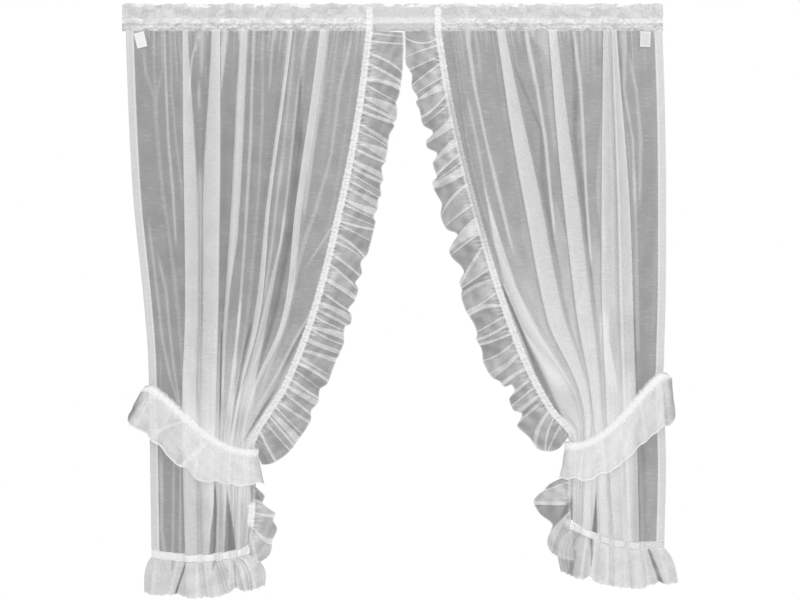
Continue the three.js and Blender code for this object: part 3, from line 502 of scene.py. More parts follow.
# Woven cloth of fine bright threads with daylight between them: each layer hides a share of
# what is behind it, so folds and gathers turn whiter. Slubs thicken the weft here and there.
def wovenCloth(name, look):
    material, tree = newMaterial(name)
    cloth = addNode(tree, "ShaderNodeUVMap", uv_map="cloth").outputs["UV"]
    together = addNode(tree, "ShaderNodeAttribute", attribute_name="layers").outputs["Fac"]
    slubSize = [1000 / size for size in look["slubMm"]]  # repeats in a metre of cloth
    slubPlace = addNode(tree, "ShaderNodeMapping", {"Vector": cloth, "Scale": (*slubSize, 1)})
    slub = addNode(tree, "ShaderNodeTexNoise",
                   {"Vector": slubPlace.outputs["Vector"], "Scale": 1.0, "Detail": 2.0, "Roughness": 0.55})
    slubRange = addNode(tree, "ShaderNodeMapRange",
                        {"Value": slub.outputs["Fac"],
                         "From Min": look["slubNoise"][0], "From Max": look["slubNoise"][1],
                         "To Min": look["slub"] * look["slubSpan"][0],
                         "To Max": look["slub"] * look["slubSpan"][1]})
    grainPlace = addNode(tree, "ShaderNodeMapping",
                         {"Vector": cloth, "Scale": (1000 / look["grainMm"],) * 3})
    grain = addNode(tree, "ShaderNodeTexNoise",
                    {"Vector": grainPlace.outputs["Vector"], "Scale": 1.0, "Detail": 3.0})
    thread = addNode(tree, "ShaderNodeMapping", {"Vector": cloth, "Scale": (1000 / look["threadMm"],) * 3})
    warp, weft = (addNode(tree, "ShaderNodeTexWave", {"Vector": thread.outputs["Vector"], "Scale": oneWave},
                          wave_type="BANDS", bands_direction=way) for way in "XY")
    weave = addNode(tree, "ShaderNodeMath", {0: warp.outputs["Fac"], 1: weft.outputs["Fac"]},
                    operation="MAXIMUM")
    grainRange = addNode(tree, "ShaderNodeMapRange",
                         {"Value": grain.outputs["Fac"],
                          "From Min": look["grainNoise"][0], "From Max": look["grainNoise"][1],
                          "To Min": 1 - look["grain"], "To Max": 1 + look["grain"]})
    thick = addNode(tree, "ShaderNodeMath", {0: together, 1: grainRange.outputs[0], 2: slubRange.outputs[0]},
                    operation="MULTIPLY_ADD")
    gaps = addNode(tree, "ShaderNodeMath", {0: 1 - look["cover"], 1: thick.outputs[0]}, operation="POWER")
    cover = addNode(tree, "ShaderNodeMath", {0: 1.0, 1: gaps.outputs[0]}, operation="SUBTRACT")
    colour = addNode(tree, "ShaderNodeMix", {"Factor": grain.outputs["Fac"], "A": linear(look["shade"]),
                                             "B": linear(look["bright"])}, data_type="RGBA")
    rough = addNode(tree, "ShaderNodeMapRange", {"Value": grain.outputs["Fac"],
                                                 "To Min": look["rough"] - look["roughSpread"],
                                                 "To Max": look["rough"] + look["roughSpread"]})
    relief = addNode(tree, "ShaderNodeBump",  # a quarter of a thread high
                     {"Height": weave.outputs[0], "Strength": look["weave"],
                      "Distance": look["threadMm"] / 4000})
    shader = addNode(tree, "ShaderNodeBsdfPrincipled",
                     {"Base Color": colour.outputs["Result"], "Roughness": rough.outputs[0],
                      "Alpha": cover.outputs[0], "Normal": relief.outputs["Normal"],
                      "Specular IOR Level": look["specular"], "Sheen Weight": look["sheen"],
                      "Sheen Roughness": look["sheenRough"]})
    addNode(tree, "ShaderNodeOutputMaterial", {"Surface": shader.outputs["BSDF"]})
    return material


# Polyester voile: sheer, matt and white, with a faint sheen along its folds.
# Thread spacing is about 0.4 mm on the real cloth; it is drawn at 1.6 mm so that it shows close up.
voileLook = {"cover": 0.29, "shade": "eeeeee", "bright": "fafafa", "rough": 0.78, "roughSpread": 0.08,
             "specular": 0.2, "sheen": 0.15, "sheenRough": 0.5, "slub": 0.24, "slubMm": (28, 2.8),
             "slubNoise": (0.54, 0.76), "slubSpan": (-0.25, 1.8), "grain": 0.06, "grainMm": 7,
             "grainNoise": (0.3, 0.7), "threadMm": 1.6, "weave": 0.2}
# gathered, its threads run up and down and close together, so it looks streaked
ruffleLook = {**voileLook, "slub": 0.1, "slubMm": (4, 36), "grain": 0.1}
headingLook = {**voileLook, "slub": 0.15, "slubMm": (8, 12), "grain": 0.14, "grainMm": 6}
# shirred tape is closer and whiter, with a rougher weave
tapeLook = {**voileLook, "shade": "f2f2f2", "bright": "fcfcfc", "rough": 0.7,
            "slub": 0.15, "slubMm": (3, 6), "grain": 0.14, "grainMm": 4, "weave": 0.35}
# close woven tape hides nearly all behind it
tabLook = {**tapeLook, "shade": "e2e3e3", "bright": "efefef", "cover": 0.9, "rough": 0.6,
           "grain": 0.05, "slub": 0.05}
voileCloth = wovenCloth("polyester voile, plain woven", voileLook)
ruffleCloth = wovenCloth("polyester voile, gathered", ruffleLook)
headingCloth = wovenCloth("polyester voile, shirred heading", headingLook)
shirredTape = wovenCloth("polyester tape, shirred", tapeLook)
wovenTape = wovenCloth("polyester tape, close woven", tabLook)
print("materials made")


# Panels

panelLook = {
    "rows": 190,
    "spacing": 2.0,          # cloth between columns
    "leastColumns": 3,       # from one knot of a section to the next
    "fullDrop": 1300,        # turns a share of the drop into mm
    "sideHem": 24,
    "sideHemShown": 19,
    "sideHemSoft": (1, 1.5),
    "sideHemLayers": 1.9,
    "sideHemCloth": 60,      # cloth that can belong to the side hem
    "sideStitch": {"in": 1.5, "width": 1.6, "layers": 1.2},
    "leadFlat": 13,          # flat cloth beside the leading edge
    "leadClear": 4,          # the panel ends this far short of it, under the band
    "tuck": {"up": 2.6, "uneven": 1.4, "waves": (4.7, 17, 1.6)},  # how far its top lies up under the heading
    "rise": (6, 0.32),       # of the narrowest fold, and for each mm of width
    "riseAt": (0.9, 1, 1.15, 1.5, 1.25),
    "groove": (0.05, 4),     # depth between folds for each mm of the gap, and at most
    "bunch": 10,             # how far the grooves between folds fill up at the tie-back and below it
    "bunchBefore": 10,       # they fill up from this far outside the bunched cloth
    "crowdSides": (14, 6),   # how softly the bunched cloth begins, before its place and past it
    "tieBelow": 40,          # the middle of what the tie-back holds, below its line
    "tieHalf": 50,
    "tieFade": 26,
    "headGathers": {"pitch": 8, "width": 1.7, "length": 190, "layers": 1.0},
    "tieGathers": {"pitch": 7, "width": 1.8, "length": 420, "layers": 0.5},
    "headGatherRise": 0.9,
    "tieGatherRise": 0.7,
    "gatherInPleat": 0.5,    # share of a gather's cloth on the hidden layers of a pleat
    "pleatLayers": 1.32,
    "turnLayers": 0.6,       # more cloth along the edges of a pleat
    "mottle": 0.1,
    "mottleSize": 70,
    "inPleat": 0.2,          # the same share of a crease's cloth, and of what a slit (partly painted shade) leaves out
    "shadedSlitInPleat": 0.42,
    "creaseFade": 55,
    "creaseSoft": 2.5,
    "slitFade": 70,
    "slitSoft": 6,
    "creaseRise": 0.8,
    "faintLines": 44,        # soft lines of chance places, widths, layers, tops, heights and slants
    "faint": {"width": (2.5, 7), "layers": (-0.16, 0.3), "top": (-300, 700), "tall": (250, 800),
              "drift": (-14, 14), "ends": (0.3, 0.6)},
    # slow waves in depth, that die away towards the sides and the top
    "soft": {"waves": (38, 61, 97), "drift": 2.2, "rise": 1.1, "sides": 30, "top": 0.05},
}
# sections of a fold: side of it, distance past that side, share of the rise to the front
pleatSection = [(-1, -3, 0.62), (-0.5, 0, 0.96), (0.4, 0, 1), (1, -0.8, 0.82), (1, 1.2, 0.64),
                (1, -0.8, 0.46), (-1, 2, 0.3), (-1, 0.3, 0.16), (-1, 2.2, 0.02)]
ridgeSection = [(-1, -2, 0.4), (0, 0, 1), (1, 2, 0.4)]
pleatTurn, ridgeTurn = [0, 0, 0, 0.6, 1, 0.6, 0.1, 0.2, 0.1], [0, 0.3, 0]  # how sharply each of those turns
pleatHidden = [0, 0, 0, 0, 1, 1, 0.7, 0.4, 0.7]  # how much of those behind its front shows


def edgeAt(curtain, column, share):
    rows = curtain["edges"]
    return through([row["share"] for row in rows], [row[column] for row in rows], share)


def dropAt(curtain, share, across):
    outer, lead = edgeAt(curtain, "outerAcross", share), edgeAt(curtain, "leadAcross", share)
    part = np.clip((across - outer) / (lead - outer), 0, 1)
    sag = curtain["hemSag"] * 4 * part * (1 - part) * ramp(levels["tie"], levels["hem"], share)
    return mixed(edgeAt(curtain, "outerDrop", share), edgeAt(curtain, "leadDrop", share), part) + sag


# the folds at each level as the knots of a section, from the outer edge to the leading edge
def panelKnots(curtain, share):
    outer, lead = edgeAt(curtain, "outerAcross", share), edgeAt(curtain, "leadAcross", share)
    reached = outer + panelLook["sideHem"]
    across, depth, hidden, turned = [outer, reached], [outer * 0, outer * 0], [0, 0], [0, 0]
    before = "ridge"
    bunched = panelLook["bunch"] * ramp(levels["low"], levels["tie"], share)

    def bridge(end, after):
        gap = end - reached
        forward = bunched * (np.min(reached) > curtain["crowd"]["from"] - panelLook["bunchBefore"])
        deep = np.minimum(gap * panelLook["groove"][0], panelLook["groove"][1]) - forward
        for part, behind in ((0, before == "inward"), (0.25, 0), (0.75, 0), (1, after == "outward")):
            if behind or 0 < part < 1:
                across.append(reached + gap * part)
                depth.append(deep)
                hidden.append(float(behind))
                turned.append(0)

    for fold in curtain["folds"]:
        places = list(levels.values())
        middle = through(places, [fold[level] for level in levels], share)
        width = through(places, [fold[level + "Wide"] for level in levels], share)
        least, each = panelLook["rise"]
        rise = (least + each * width) * through(places, panelLook["riseAt"], share)
        section = ridgeSection if fold["shape"] == "ridge" else pleatSection
        spots = [(side * width / 2 + past, -high * rise) for side, past, high in section]
        if fold["shape"] == "outward":
            spots = [(-spot, back) for spot, back in reversed(spots)]
        spots = [(middle + spot, back) for spot, back in spots]
        bridge(np.min([spot for spot, _ in spots], axis=0), fold["shape"])
        before = fold["shape"]
        across += [spot for spot, _ in spots]
        depth += [back for _, back in spots]
        hidden += {"inward": pleatHidden, "outward": pleatHidden[::-1], "ridge": [0, 0, 0]}[before]
        turned += {"inward": pleatTurn, "outward": pleatTurn[::-1], "ridge": ridgeTurn}[before]
        reached = np.max([spot for spot, _ in spots], axis=0)
    flat = lead - panelLook["leadFlat"]
    bridge(flat, "ridge")
    across += [flat, lead - panelLook["leadClear"]]
    depth += [flat * 0, flat * 0]
    hidden += [0, 0]
    turned += [0, 0]
    return np.stack(across, 1), np.stack(depth, 1), np.array(hidden), np.array(turned)


def columnCounts(curtain):
    knotAcross, knotDepth, _, _ = panelKnots(curtain, np.array([levels["middle"]]))
    lengths = np.hypot(np.diff(knotAcross[0]), np.diff(knotDepth[0]))
    return np.maximum(panelLook["leastColumns"], np.rint(lengths / panelLook["spacing"])).astype(int)


leastGap = 0.01  # between two knots, so that none fall together


# a smooth section through the knots of each level, with the same number of columns at every level
def smoothSection(curtain, share):
    knotAcross, knotDepth, hidden, turned = panelKnots(curtain, share)
    counts = columnCounts(curtain)
    points = np.stack([knotAcross, knotDepth], -1)
    first, last = 2 * points[:, :1] - points[:, 1:2], 2 * points[:, -1:] - points[:, -2:-1]
    points = np.concatenate([first, points, last], 1)
    pieces = []
    for index, count in enumerate(counts):
        a, b, c, d = (points[:, index + step][:, None] for step in range(4))
        gaps = [np.sqrt(np.maximum(np.linalg.norm(y - x, axis=-1, keepdims=True), leastGap))
                for x, y in ((a, b), (b, c), (c, d))]
        t1, t2, t3 = gaps[0], gaps[0] + gaps[1], gaps[0] + gaps[1] + gaps[2]
        steps = np.arange(count + (index == len(counts) - 1)) / count
        t = t1 + (t2 - t1) * steps[None, :, None]
        ab, bc = mixed(a, b, t / t1), mixed(b, c, (t - t1) / (t2 - t1))
        cd = mixed(c, d, (t - t2) / (t3 - t2))
        abc, bcd = mixed(ab, bc, t / t2), mixed(bc, cd, (t - t1) / (t3 - t1))
        pieces.append(mixed(abc, bcd, (t - t1) / (t2 - t1)))
    smooth = np.concatenate(pieces, 1)
    between = np.repeat(hidden[:-1] * hidden[1:] > 0, counts)
    places = np.concatenate([index + np.arange(count) / count for index, count in enumerate(counts)])
    sharp, shown = (np.interp(places, np.arange(len(turned)), values) for values in (turned, hidden))
    behind = np.append(between * shown, 0)[None, :]
    return smooth[..., 0], smooth[..., 1], behind, np.append(sharp, 0)[None, :]


tieSag = 1.2  # above 1, a tie-back stays high at its outer end


# the line a tie-back takes across the folds
def tieFall(tie, part):
    return mixed(tie["outerDrop"], tie["innerDrop"], np.sin(np.clip(part, 0, 1) * math.pi / 2) ** tieSag)


def makePanel(curtain):
    look, name, crowd, tie = panelLook, curtain["name"], curtain["crowd"], curtain["tie"]
    shares = np.linspace(0, 1, look["rows"])
    across, depth, hidden, turned = smoothSection(curtain, shares)
    share = np.broadcast_to(shares[:, None], across.shape)
    drop = dropAt(curtain, share, across)
    along = lengthAlong(across, depth)
    clothAcross = along[int(levels["middle"] * (len(shares) - 1))][None, :]
    total = clothAcross[0, -1]
    fromHeading = drop - drop[0]
    threads = gathers(clothAcross, fromHeading, total, look["headGathers"])
    fromTie = np.abs(share - levels["tie"]) * look["fullDrop"]
    pulled = gathers(clothAcross, fromTie, total, look["tieGathers"])

    # bare cloth, the layers behind a pleat, and cloth bunched towards the tie-back
    before, past = look["crowdSides"]
    inFolds = ramp(crowd["from"] - before, crowd["from"] + past, across)
    held = drop - tieFall(tie, (across - tie["outer"]) / (tie["inner"] - tie["outer"])) - look["tieBelow"]
    byTie = crowd["byTie"] * np.exp(-np.maximum(abs(held) - look["tieHalf"], 0) / look["tieFade"])
    crowded = (crowd["layers"] * ramp(crowd["begins"], crowd["full"], share) + byTie) * inFolds
    behind = np.maximum(look["pleatLayers"] + crowded * crowd["inPleat"], thinnest)
    layers = np.where(hidden > 0, behind * hidden, curveAt(curtain["bare"], across) + crowded)
    layers = layers * (1 + look["mottle"] * mottle(clothAcross, fromHeading, look["mottleSize"]))
    layers = layers + look["turnLayers"] * turned
    inPleat = np.where(hidden > 0, look["inPleat"], 1)
    gatherShare = np.maximum(inPleat, look["gatherInPleat"])
    layers = layers + (threads + pulled * inFolds) * gatherShare
    lift = look["headGatherRise"] * threads + look["tieGatherRise"] * pulled * inFolds

    # the doubled side hem and the stitches along it
    hem, atHem = across - across[:, :1], clothAcross < look["sideHemCloth"]
    shown, (inside, outside), stitch = look["sideHemShown"], look["sideHemSoft"], look["sideStitch"]
    layers = layers + look["sideHemLayers"] * (1 - ramp(shown - inside, shown + outside, hem)) * atHem
    layers = layers + stitch["layers"] * bell(hem - shown + stitch["in"], stitch["width"]) * atHem

    # slits take layers away: partly thinner cloth between folds, partly painted shade there
    shadedSlitShare = np.where(hidden > 0, look["shadedSlitInPleat"], 1)
    for extra, line in curtain["creasesAndShadedSlits"]:
        kind = "crease" if extra > 0 else "slit"
        there = lineShare(line, across, drop, look[kind + "Fade"], look[kind + "Soft"])
        layers = layers + extra * there * (inPleat if extra > 0 else shadedSlitShare)
        lift = lift + look["creaseRise"] * extra * there
    faint = look["faint"]
    for _ in range(look["faintLines"]):
        place = chance.uniform(0, total)
        width, extra, top, tall, drift = (chance.uniform(*faint[value])
                                          for value in ("width", "layers", "top", "tall", "drift"))
        part = (fromHeading - top) / tall
        line = bell(clothAcross - place - drift * part, width)
        line = line * ramp(0, faint["ends"][0], part) * ramp(1, faint["ends"][1], part)
        layers = layers + extra * line * gatherShare
        lift = lift + extra * line

    soft, tuck = look["soft"], look["tuck"]
    free = ramp(0, soft["sides"], hem) * ramp(0, soft["sides"], total - clothAcross)
    free = free * ramp(0, soft["top"], share)
    depth = depth - lift + soft["rise"] * (waver(clothAcross, soft["waves"], soft["drift"] * share) * free)
    drop = drop - (tuck["up"] + tuck["uneven"] * scallop(clothAcross, *tuck["waves"])) * (share == 0)
    piece = makeSheet(name + "_panel_cloth", curtain, across, depth, drop, along, fromHeading,
                      layers, voileCloth)
    settle(piece, name + "_panel")


forBoth("panels", makePanel)


# Shirred tape, drawn up on two rows of stitches: crumpled cross ridges between puckered edges

shirrLook = {"ridge": 0.3, "rowPlace": 0.45, "rowWidth": 0.16, "rowHold": 0.4, "crumple": 0.3,
             "crumpleSize": 9, "endless": 1e9}


def shirring(along, place, look):
    drawn = {"pitch": look["shirr"], "width": look["shirr"] * shirrLook["ridge"],
             "length": shirrLook["endless"], "layers": 1.0}
    ridges = gathers(along - look["slant"] * place, place * 0, float(np.max(along)), drawn)
    rows = bell(abs(place) - shirrLook["rowPlace"], shirrLook["rowWidth"])
    crumple = mottle(along, place * look["width"] / 2, shirrLook["crumpleSize"])
    return ridges * (1 - shirrLook["rowHold"] * rows) + shirrLook["crumple"] * crumple, rows


# both edges waver, each by itself
def puckered(along, place, look):
    lower, upper = (waver(along, lengths) for lengths in look["puckerWaves"])
    return 1 + look["pucker"] * np.where(place > 0, lower, upper)


# layers that are missing towards the edges
def frayed(place, along, down, look):
    return place ** look["power"] * (look["layers"] + look["uneven"] * mottle(along, down, look["size"]))


# 1 along the rolled free edge of a ruffle
def rolledEdge(length, reach, high):
    return ramp(length - high, length - high + 1, reach)


# Leading edge: a shirred band with its ruffle

bandLook = {"width": 17, "top": 6, "spacing": 1.5, "rows": 13, "linePoints": 1601, "thick": 2.0, "cloth": 1.2,
            "seam": 0.3, "settle": 60, "overHeading": 3.5, "hemClear": 1,
            "shirr": 7.5, "shirrHeight": 0.7, "slant": 1.2, "edgeBack": 0.5, "rowBack": 0.35,
            "layers": 2.9, "ridgeLayers": 1.9, "rowLayers": 0.5,
            "pucker": 0.16, "puckerWaves": ((7, 9.5, 19), (7.5, 11, 23)),
            "fray": {"power": 4, "layers": 1.6, "uneven": 1.4, "size": 8}, "frayReach": 9}
ruffleShape = {
    "fullDepth": 90, "droop": 0.28, "pitch": 62, "swing": 10, "swingUneven": (0.2, 2.3), "fluteSteps": 40,
    "spacing": 2.4, "rows": 44, "leastStep": 3, "leastColumns": 5, "clear": 2, "straight": 0.1, "tuck": 1.6,
    "underBand": 16, "flatShare": 0.8, "edgeHem": 3.5, "mottle": 0.3, "mottleSize": 34, "mottleSlant": 0.5,
    "pleatWide": 1.3, "bandMore": 1.5, "edgeMore": 1,  # pleats are drawn a little wider than they show
    "pleatLayers": 1.1, "lay": 3.0, "layAtBand": 0.25,
    "gathers": {"pitch": 7.5, "width": 1.8, "length": 38, "layers": 2.6},
    "gatherSlant": 0.4, "gatherFrom": 8, "gatherFree": 1.4, "gatherRise": 0.6,
    "crumpleWaves": (11, 17, 29), "crumpleSlant": 0.4, "crumpleLess": 0.4,
    "teethAndPaintedLight": [(12, 4, -0.35), (24, 12, 0.3)],  # beside the band: how far out, how wide, share of the layers; the narrow darker strip is the teeth, the wider brighter strip is painted light
    "roll": {"layers": 0.7, "byHeading": 1.3, "headingEnds": (50, 66), "uneven": 0.4, "waves": (31, 53)},
    "creaseFade": 12, "leastLayers": 0.3,
}
fluteUneven = ((0.17, 1.7, 0), (0.12, 0.6, 1))  # how far, how often and from where the flutes crowd together
headingDrop = 64  # height of the heading


def leadingLine(curtain):
    shares = np.linspace(0, 1, bandLook["linePoints"])
    across, drop = edgeAt(curtain, "leadAcross", shares), edgeAt(curtain, "leadDrop", shares)
    run = lengthAlong(across, drop)
    slope = np.arctan2(np.gradient(across), np.gradient(drop))
    return {"run": run, "across": across, "drop": drop, "slope": slope, "total": run[-1],
            "tied": np.interp(levels["tie"], shares, run)}


def flutePlace(count, total):
    free = np.minimum(1, np.minimum(count, total - count))
    crowding = sum(size * np.sin(rate * count + start) for size, rate, start in fluteUneven)
    return (count + free * crowding) / total


def makeLeadingRuffle(curtain):
    look, name, line = ruffleShape, curtain["name"], leadingLine(curtain)
    band, mid, edge, bandWide, edgeWide, faces = np.array(curtain["pleats"], float).T
    bandWide = look["pleatWide"] * bandWide + look["bandMore"]
    edgeWide = look["pleatWide"] * edgeWide + look["edgeMore"]

    def turns(centre, width):  # the cloth runs past each pleat, doubles back behind it, and runs on
        both = np.stack([centre + width / 2, centre - width / 2], 1).ravel()
        return np.concatenate([[0], both, [line["total"]]])

    atBand, atEdge = turns(band, bandWide), turns(edge, edgeWide)
    atMid = turns(mid, (bandWide + edgeWide) / 2)
    steps = np.maximum(np.maximum(abs(np.diff(atEdge)), abs(np.diff(atBand))), look["leastStep"])
    knots = np.append(0, np.cumsum(steps))
    counts = np.maximum(look["leastColumns"], np.rint(steps / look["spacing"])).astype(int)
    cloth = [knots[at] + steps[at] * np.arange(count) / count for at, count in enumerate(counts)]
    cloth = np.concatenate(cloth + [knots[-1:]])
    inner, middle, outer = (through(knots, places, cloth) for places in (atBand, atMid, atEdge))
    lay = through(knots, np.concatenate([[0], np.tile([-1.0, 1.0], len(band)), [0]]), cloth)
    faceLayers = np.empty(len(steps))
    faceLayers[0::2], faceLayers[1::2] = np.append(1.0, faces), look["pleatLayers"]
    base = np.append(np.repeat(faceLayers, counts), faceLayers[-1])

    # each fold of the cloth runs from its place at the band to its place at the free edge
    part = np.linspace(0, 1, look["rows"])[:, None]
    t = np.clip((part - look["straight"]) / (1 - look["straight"]), 0, 1)
    run = inner * (1 - t) * (1 - 2 * t) + middle * 4 * t * (1 - t) + outer * t * (2 * t - 1)
    run = np.clip(run, 0, line["total"])
    whole = curveAt(curtain["freeEdge"], outer)
    reach = mixed(look["clear"], whole, part)
    lineAcross, lineDrop, slope = (np.interp(run, line["run"], line[value])
                                   for value in ("across", "drop", "slope"))
    turn = look["droop"] - slope + curveAt(curtain["fan"], run - line["tied"])
    across, drop = lineAcross + reach * np.cos(turn), lineDrop + reach * np.sin(turn)
    drop = drop - look["tuck"] * (1 - ramp(0, headingDrop, run))

    # flutes, pleats lying on one another, and fine gathers by the band
    flutes = round(line["total"] / look["pitch"])
    counting = np.linspace(0, flutes, flutes * look["fluteSteps"])
    count = np.interp(run, flutePlace(counting, flutes) * line["total"], counting)
    free = np.maximum(whole - look["underBand"], 0) / (look["fullDepth"] - look["underBand"])
    flat = np.minimum(look["underBand"], whole * look["flatShare"])
    grown = np.clip((reach - flat) / (whole - flat), 0, 1)
    uneven, often = look["swingUneven"]
    size = free * (1 + uneven * np.sin(often * count)) * grown
    strokes = gathers(run + look["gatherSlant"] * reach, np.maximum(reach - look["gatherFrom"], 0),
                      line["total"], look["gathers"]) * np.minimum(free * look["gatherFree"], 1)
    crumple = waver(cloth[None, :] + look["crumpleSlant"] * reach, look["crumpleWaves"])
    crumple = crumple * grown * (1 - look["crumpleLess"] * grown)
    laid = look["lay"] * lay * (look["layAtBand"] + (1 - look["layAtBand"]) * grown)
    depth = size * look["swing"] * np.cos(2 * math.pi * count)
    depth = depth + np.minimum(free, 1) * (laid + crumple) - look["gatherRise"] * strokes

    # beside the band: narrow dark teeth, then a wider strip painted brighter as painted light near the band
    teethAndPaintedLight = sum((more * bell(reach - out, width) for out, width, more in look["teethAndPaintedLight"]), 1)
    base = base * (1 + look["mottle"] * mottle(run + look["mottleSlant"] * reach, reach, look["mottleSize"]))
    roll = look["roll"]
    byHeading = roll["byHeading"] * (1 - ramp(*roll["headingEnds"], run))
    rolled = roll["layers"] + byHeading + roll["uneven"] * waver(run, roll["waves"])
    layers = base * teethAndPaintedLight + strokes + rolledEdge(whole, reach, look["edgeHem"]) * rolled
    # the slits take layers away: partly thinner cloth, partly painted shade between flutes
    for extra, crease in curtain["ruffleShadedSlits"]:
        there = lineShare(crease, across, drop, look["creaseFade"])
        layers = np.maximum(layers + extra * there, look["leastLayers"])
    piece = makeSheet(name + "_leading_ruffle_cloth", curtain, across, depth, drop, cloth[None, :], reach,
                      layers, ruffleCloth)
    settle(piece, name + "_leading_ruffle")


def makeLeadingBand(curtain):
    look, name, line = bandLook, curtain["name"], leadingLine(curtain)
    above = headingDrop - look["top"]
    run = np.arange(-above, line["total"] - look["hemClear"], look["spacing"])
    on = np.maximum(run, 0)
    slope = np.where(run <= 0, 0, np.interp(on, line["run"], line["slope"]))
    place = np.linspace(-1, 1, look["rows"])[:, None]
    flat = place * look["width"] / 2
    wide = flat * puckered(run, place, look)
    across = np.interp(on, line["run"], line["across"]) - wide * np.cos(slope)
    drop = np.interp(on, line["run"], line["drop"]) + np.minimum(run, 0) + wide * np.sin(slope)
    overCloth = -(look["cloth"] / 2 + look["seam"] + look["thick"] / 2)
    over = mixed(overCloth - look["overHeading"], overCloth, ramp(0, look["settle"], run))
    ridges, rows = shirring(run[None, :] + above, place, look)
    shown = curveAt(curtain["bandShown"], run)
    drawn = np.minimum(shown, 1)
    depth = over - look["shirrHeight"] * ridges * drawn**2
    depth = depth + look["edgeBack"] * place**4 + look["rowBack"] * rows
    thin = frayed(place, run[None, :], place * look["frayReach"], look["fray"])
    layers = look["layers"] + look["ridgeLayers"] * ridges * drawn + look["rowLayers"] * rows - thin
    piece = makeSheet(name + "_leading_band_tape", curtain, across, depth, drop, run[None, :],
                      flat, layers * shown, shirredTape, inside=True)
    settle(piece, name + "_leading_band")


forBoth("leading edges", makeLeadingRuffle, makeLeadingBand)


# Heading: a frill over a shirred row of stitches and a crinkled strip

headingShape = {
    "spacing": 1.7, "rows": 50, "pitch": 40, "columnsPerWave": 4, "topWave": 3.2, "stitchWave": 1.8,
    "bottomWave": 2.8, "stitchDrop": 44,
    "uneven": 5, "unevenRates": (0.9, 0.37), "topWaver": 1.2, "topWaves": (7, 12, 21),
    "calm": 0.75, "calmWithin": 12, "betweenWithin": 8,  # smoother between the two leading bands
    "frillDrop": 34, "frillWaver": 2, "frillWaves": (60, 110), "frillEnds": (2, 1), "stitchedEnds": (9, 13),
    # crumples: width and height of the patches, and how high one must be to show
    "folded": (19, 15), "foldSlant": 0.5, "small": (8, 8), "flecks": (7, 5), "fleckFrom": 0.45,
    "squares": (20, 9), "squareFrom": 0.3, "squareEnds": (6, 10),
    # zigzag lines on the strip: drop, swing, lengths of the waves, width, strength
    "zigzags": [(56, 6, (17, 29, 53), 1.7, 1), (52, 4, (11, 21, 43), 1.4, 0.7)],
    "zigzagFolds": (0.6, 0.8), "zigzagRange": (0.1, 1.4),
    "ragged": (59, 2.5), "raggedWaves": (5.3, 13.7, 2), "raggedEnds": (2, 1.5), "raggedLess": 0.25,
    # the frill is whiter at its top and by the stitches: dullest drop, distance to the whiter parts, layers
    "dull": (18, 16, 0.5, 0.25),
    "rowDrops": (32, 38, 43), "rowWidth": 1.2, "borderDrop": 62, "borderWaves": (23, 41), "borderWidth": 1.6,
    "foldRise": 1.1, "smallRise": 0.6, "stitchedRise": 0.5,
    "frillLayers": {"all": 2.75, "folded": 0.6, "small": 0.25, "squares": 6},
    "stitchedLayers": {"all": 3.5, "small": 0.8, "flecks": 6},
    "stripLayers": {"all": 2.1, "small": 0.7, "zigzag": 1.9}, "rowLayers": 0.9, "borderLayers": 0.2,
}


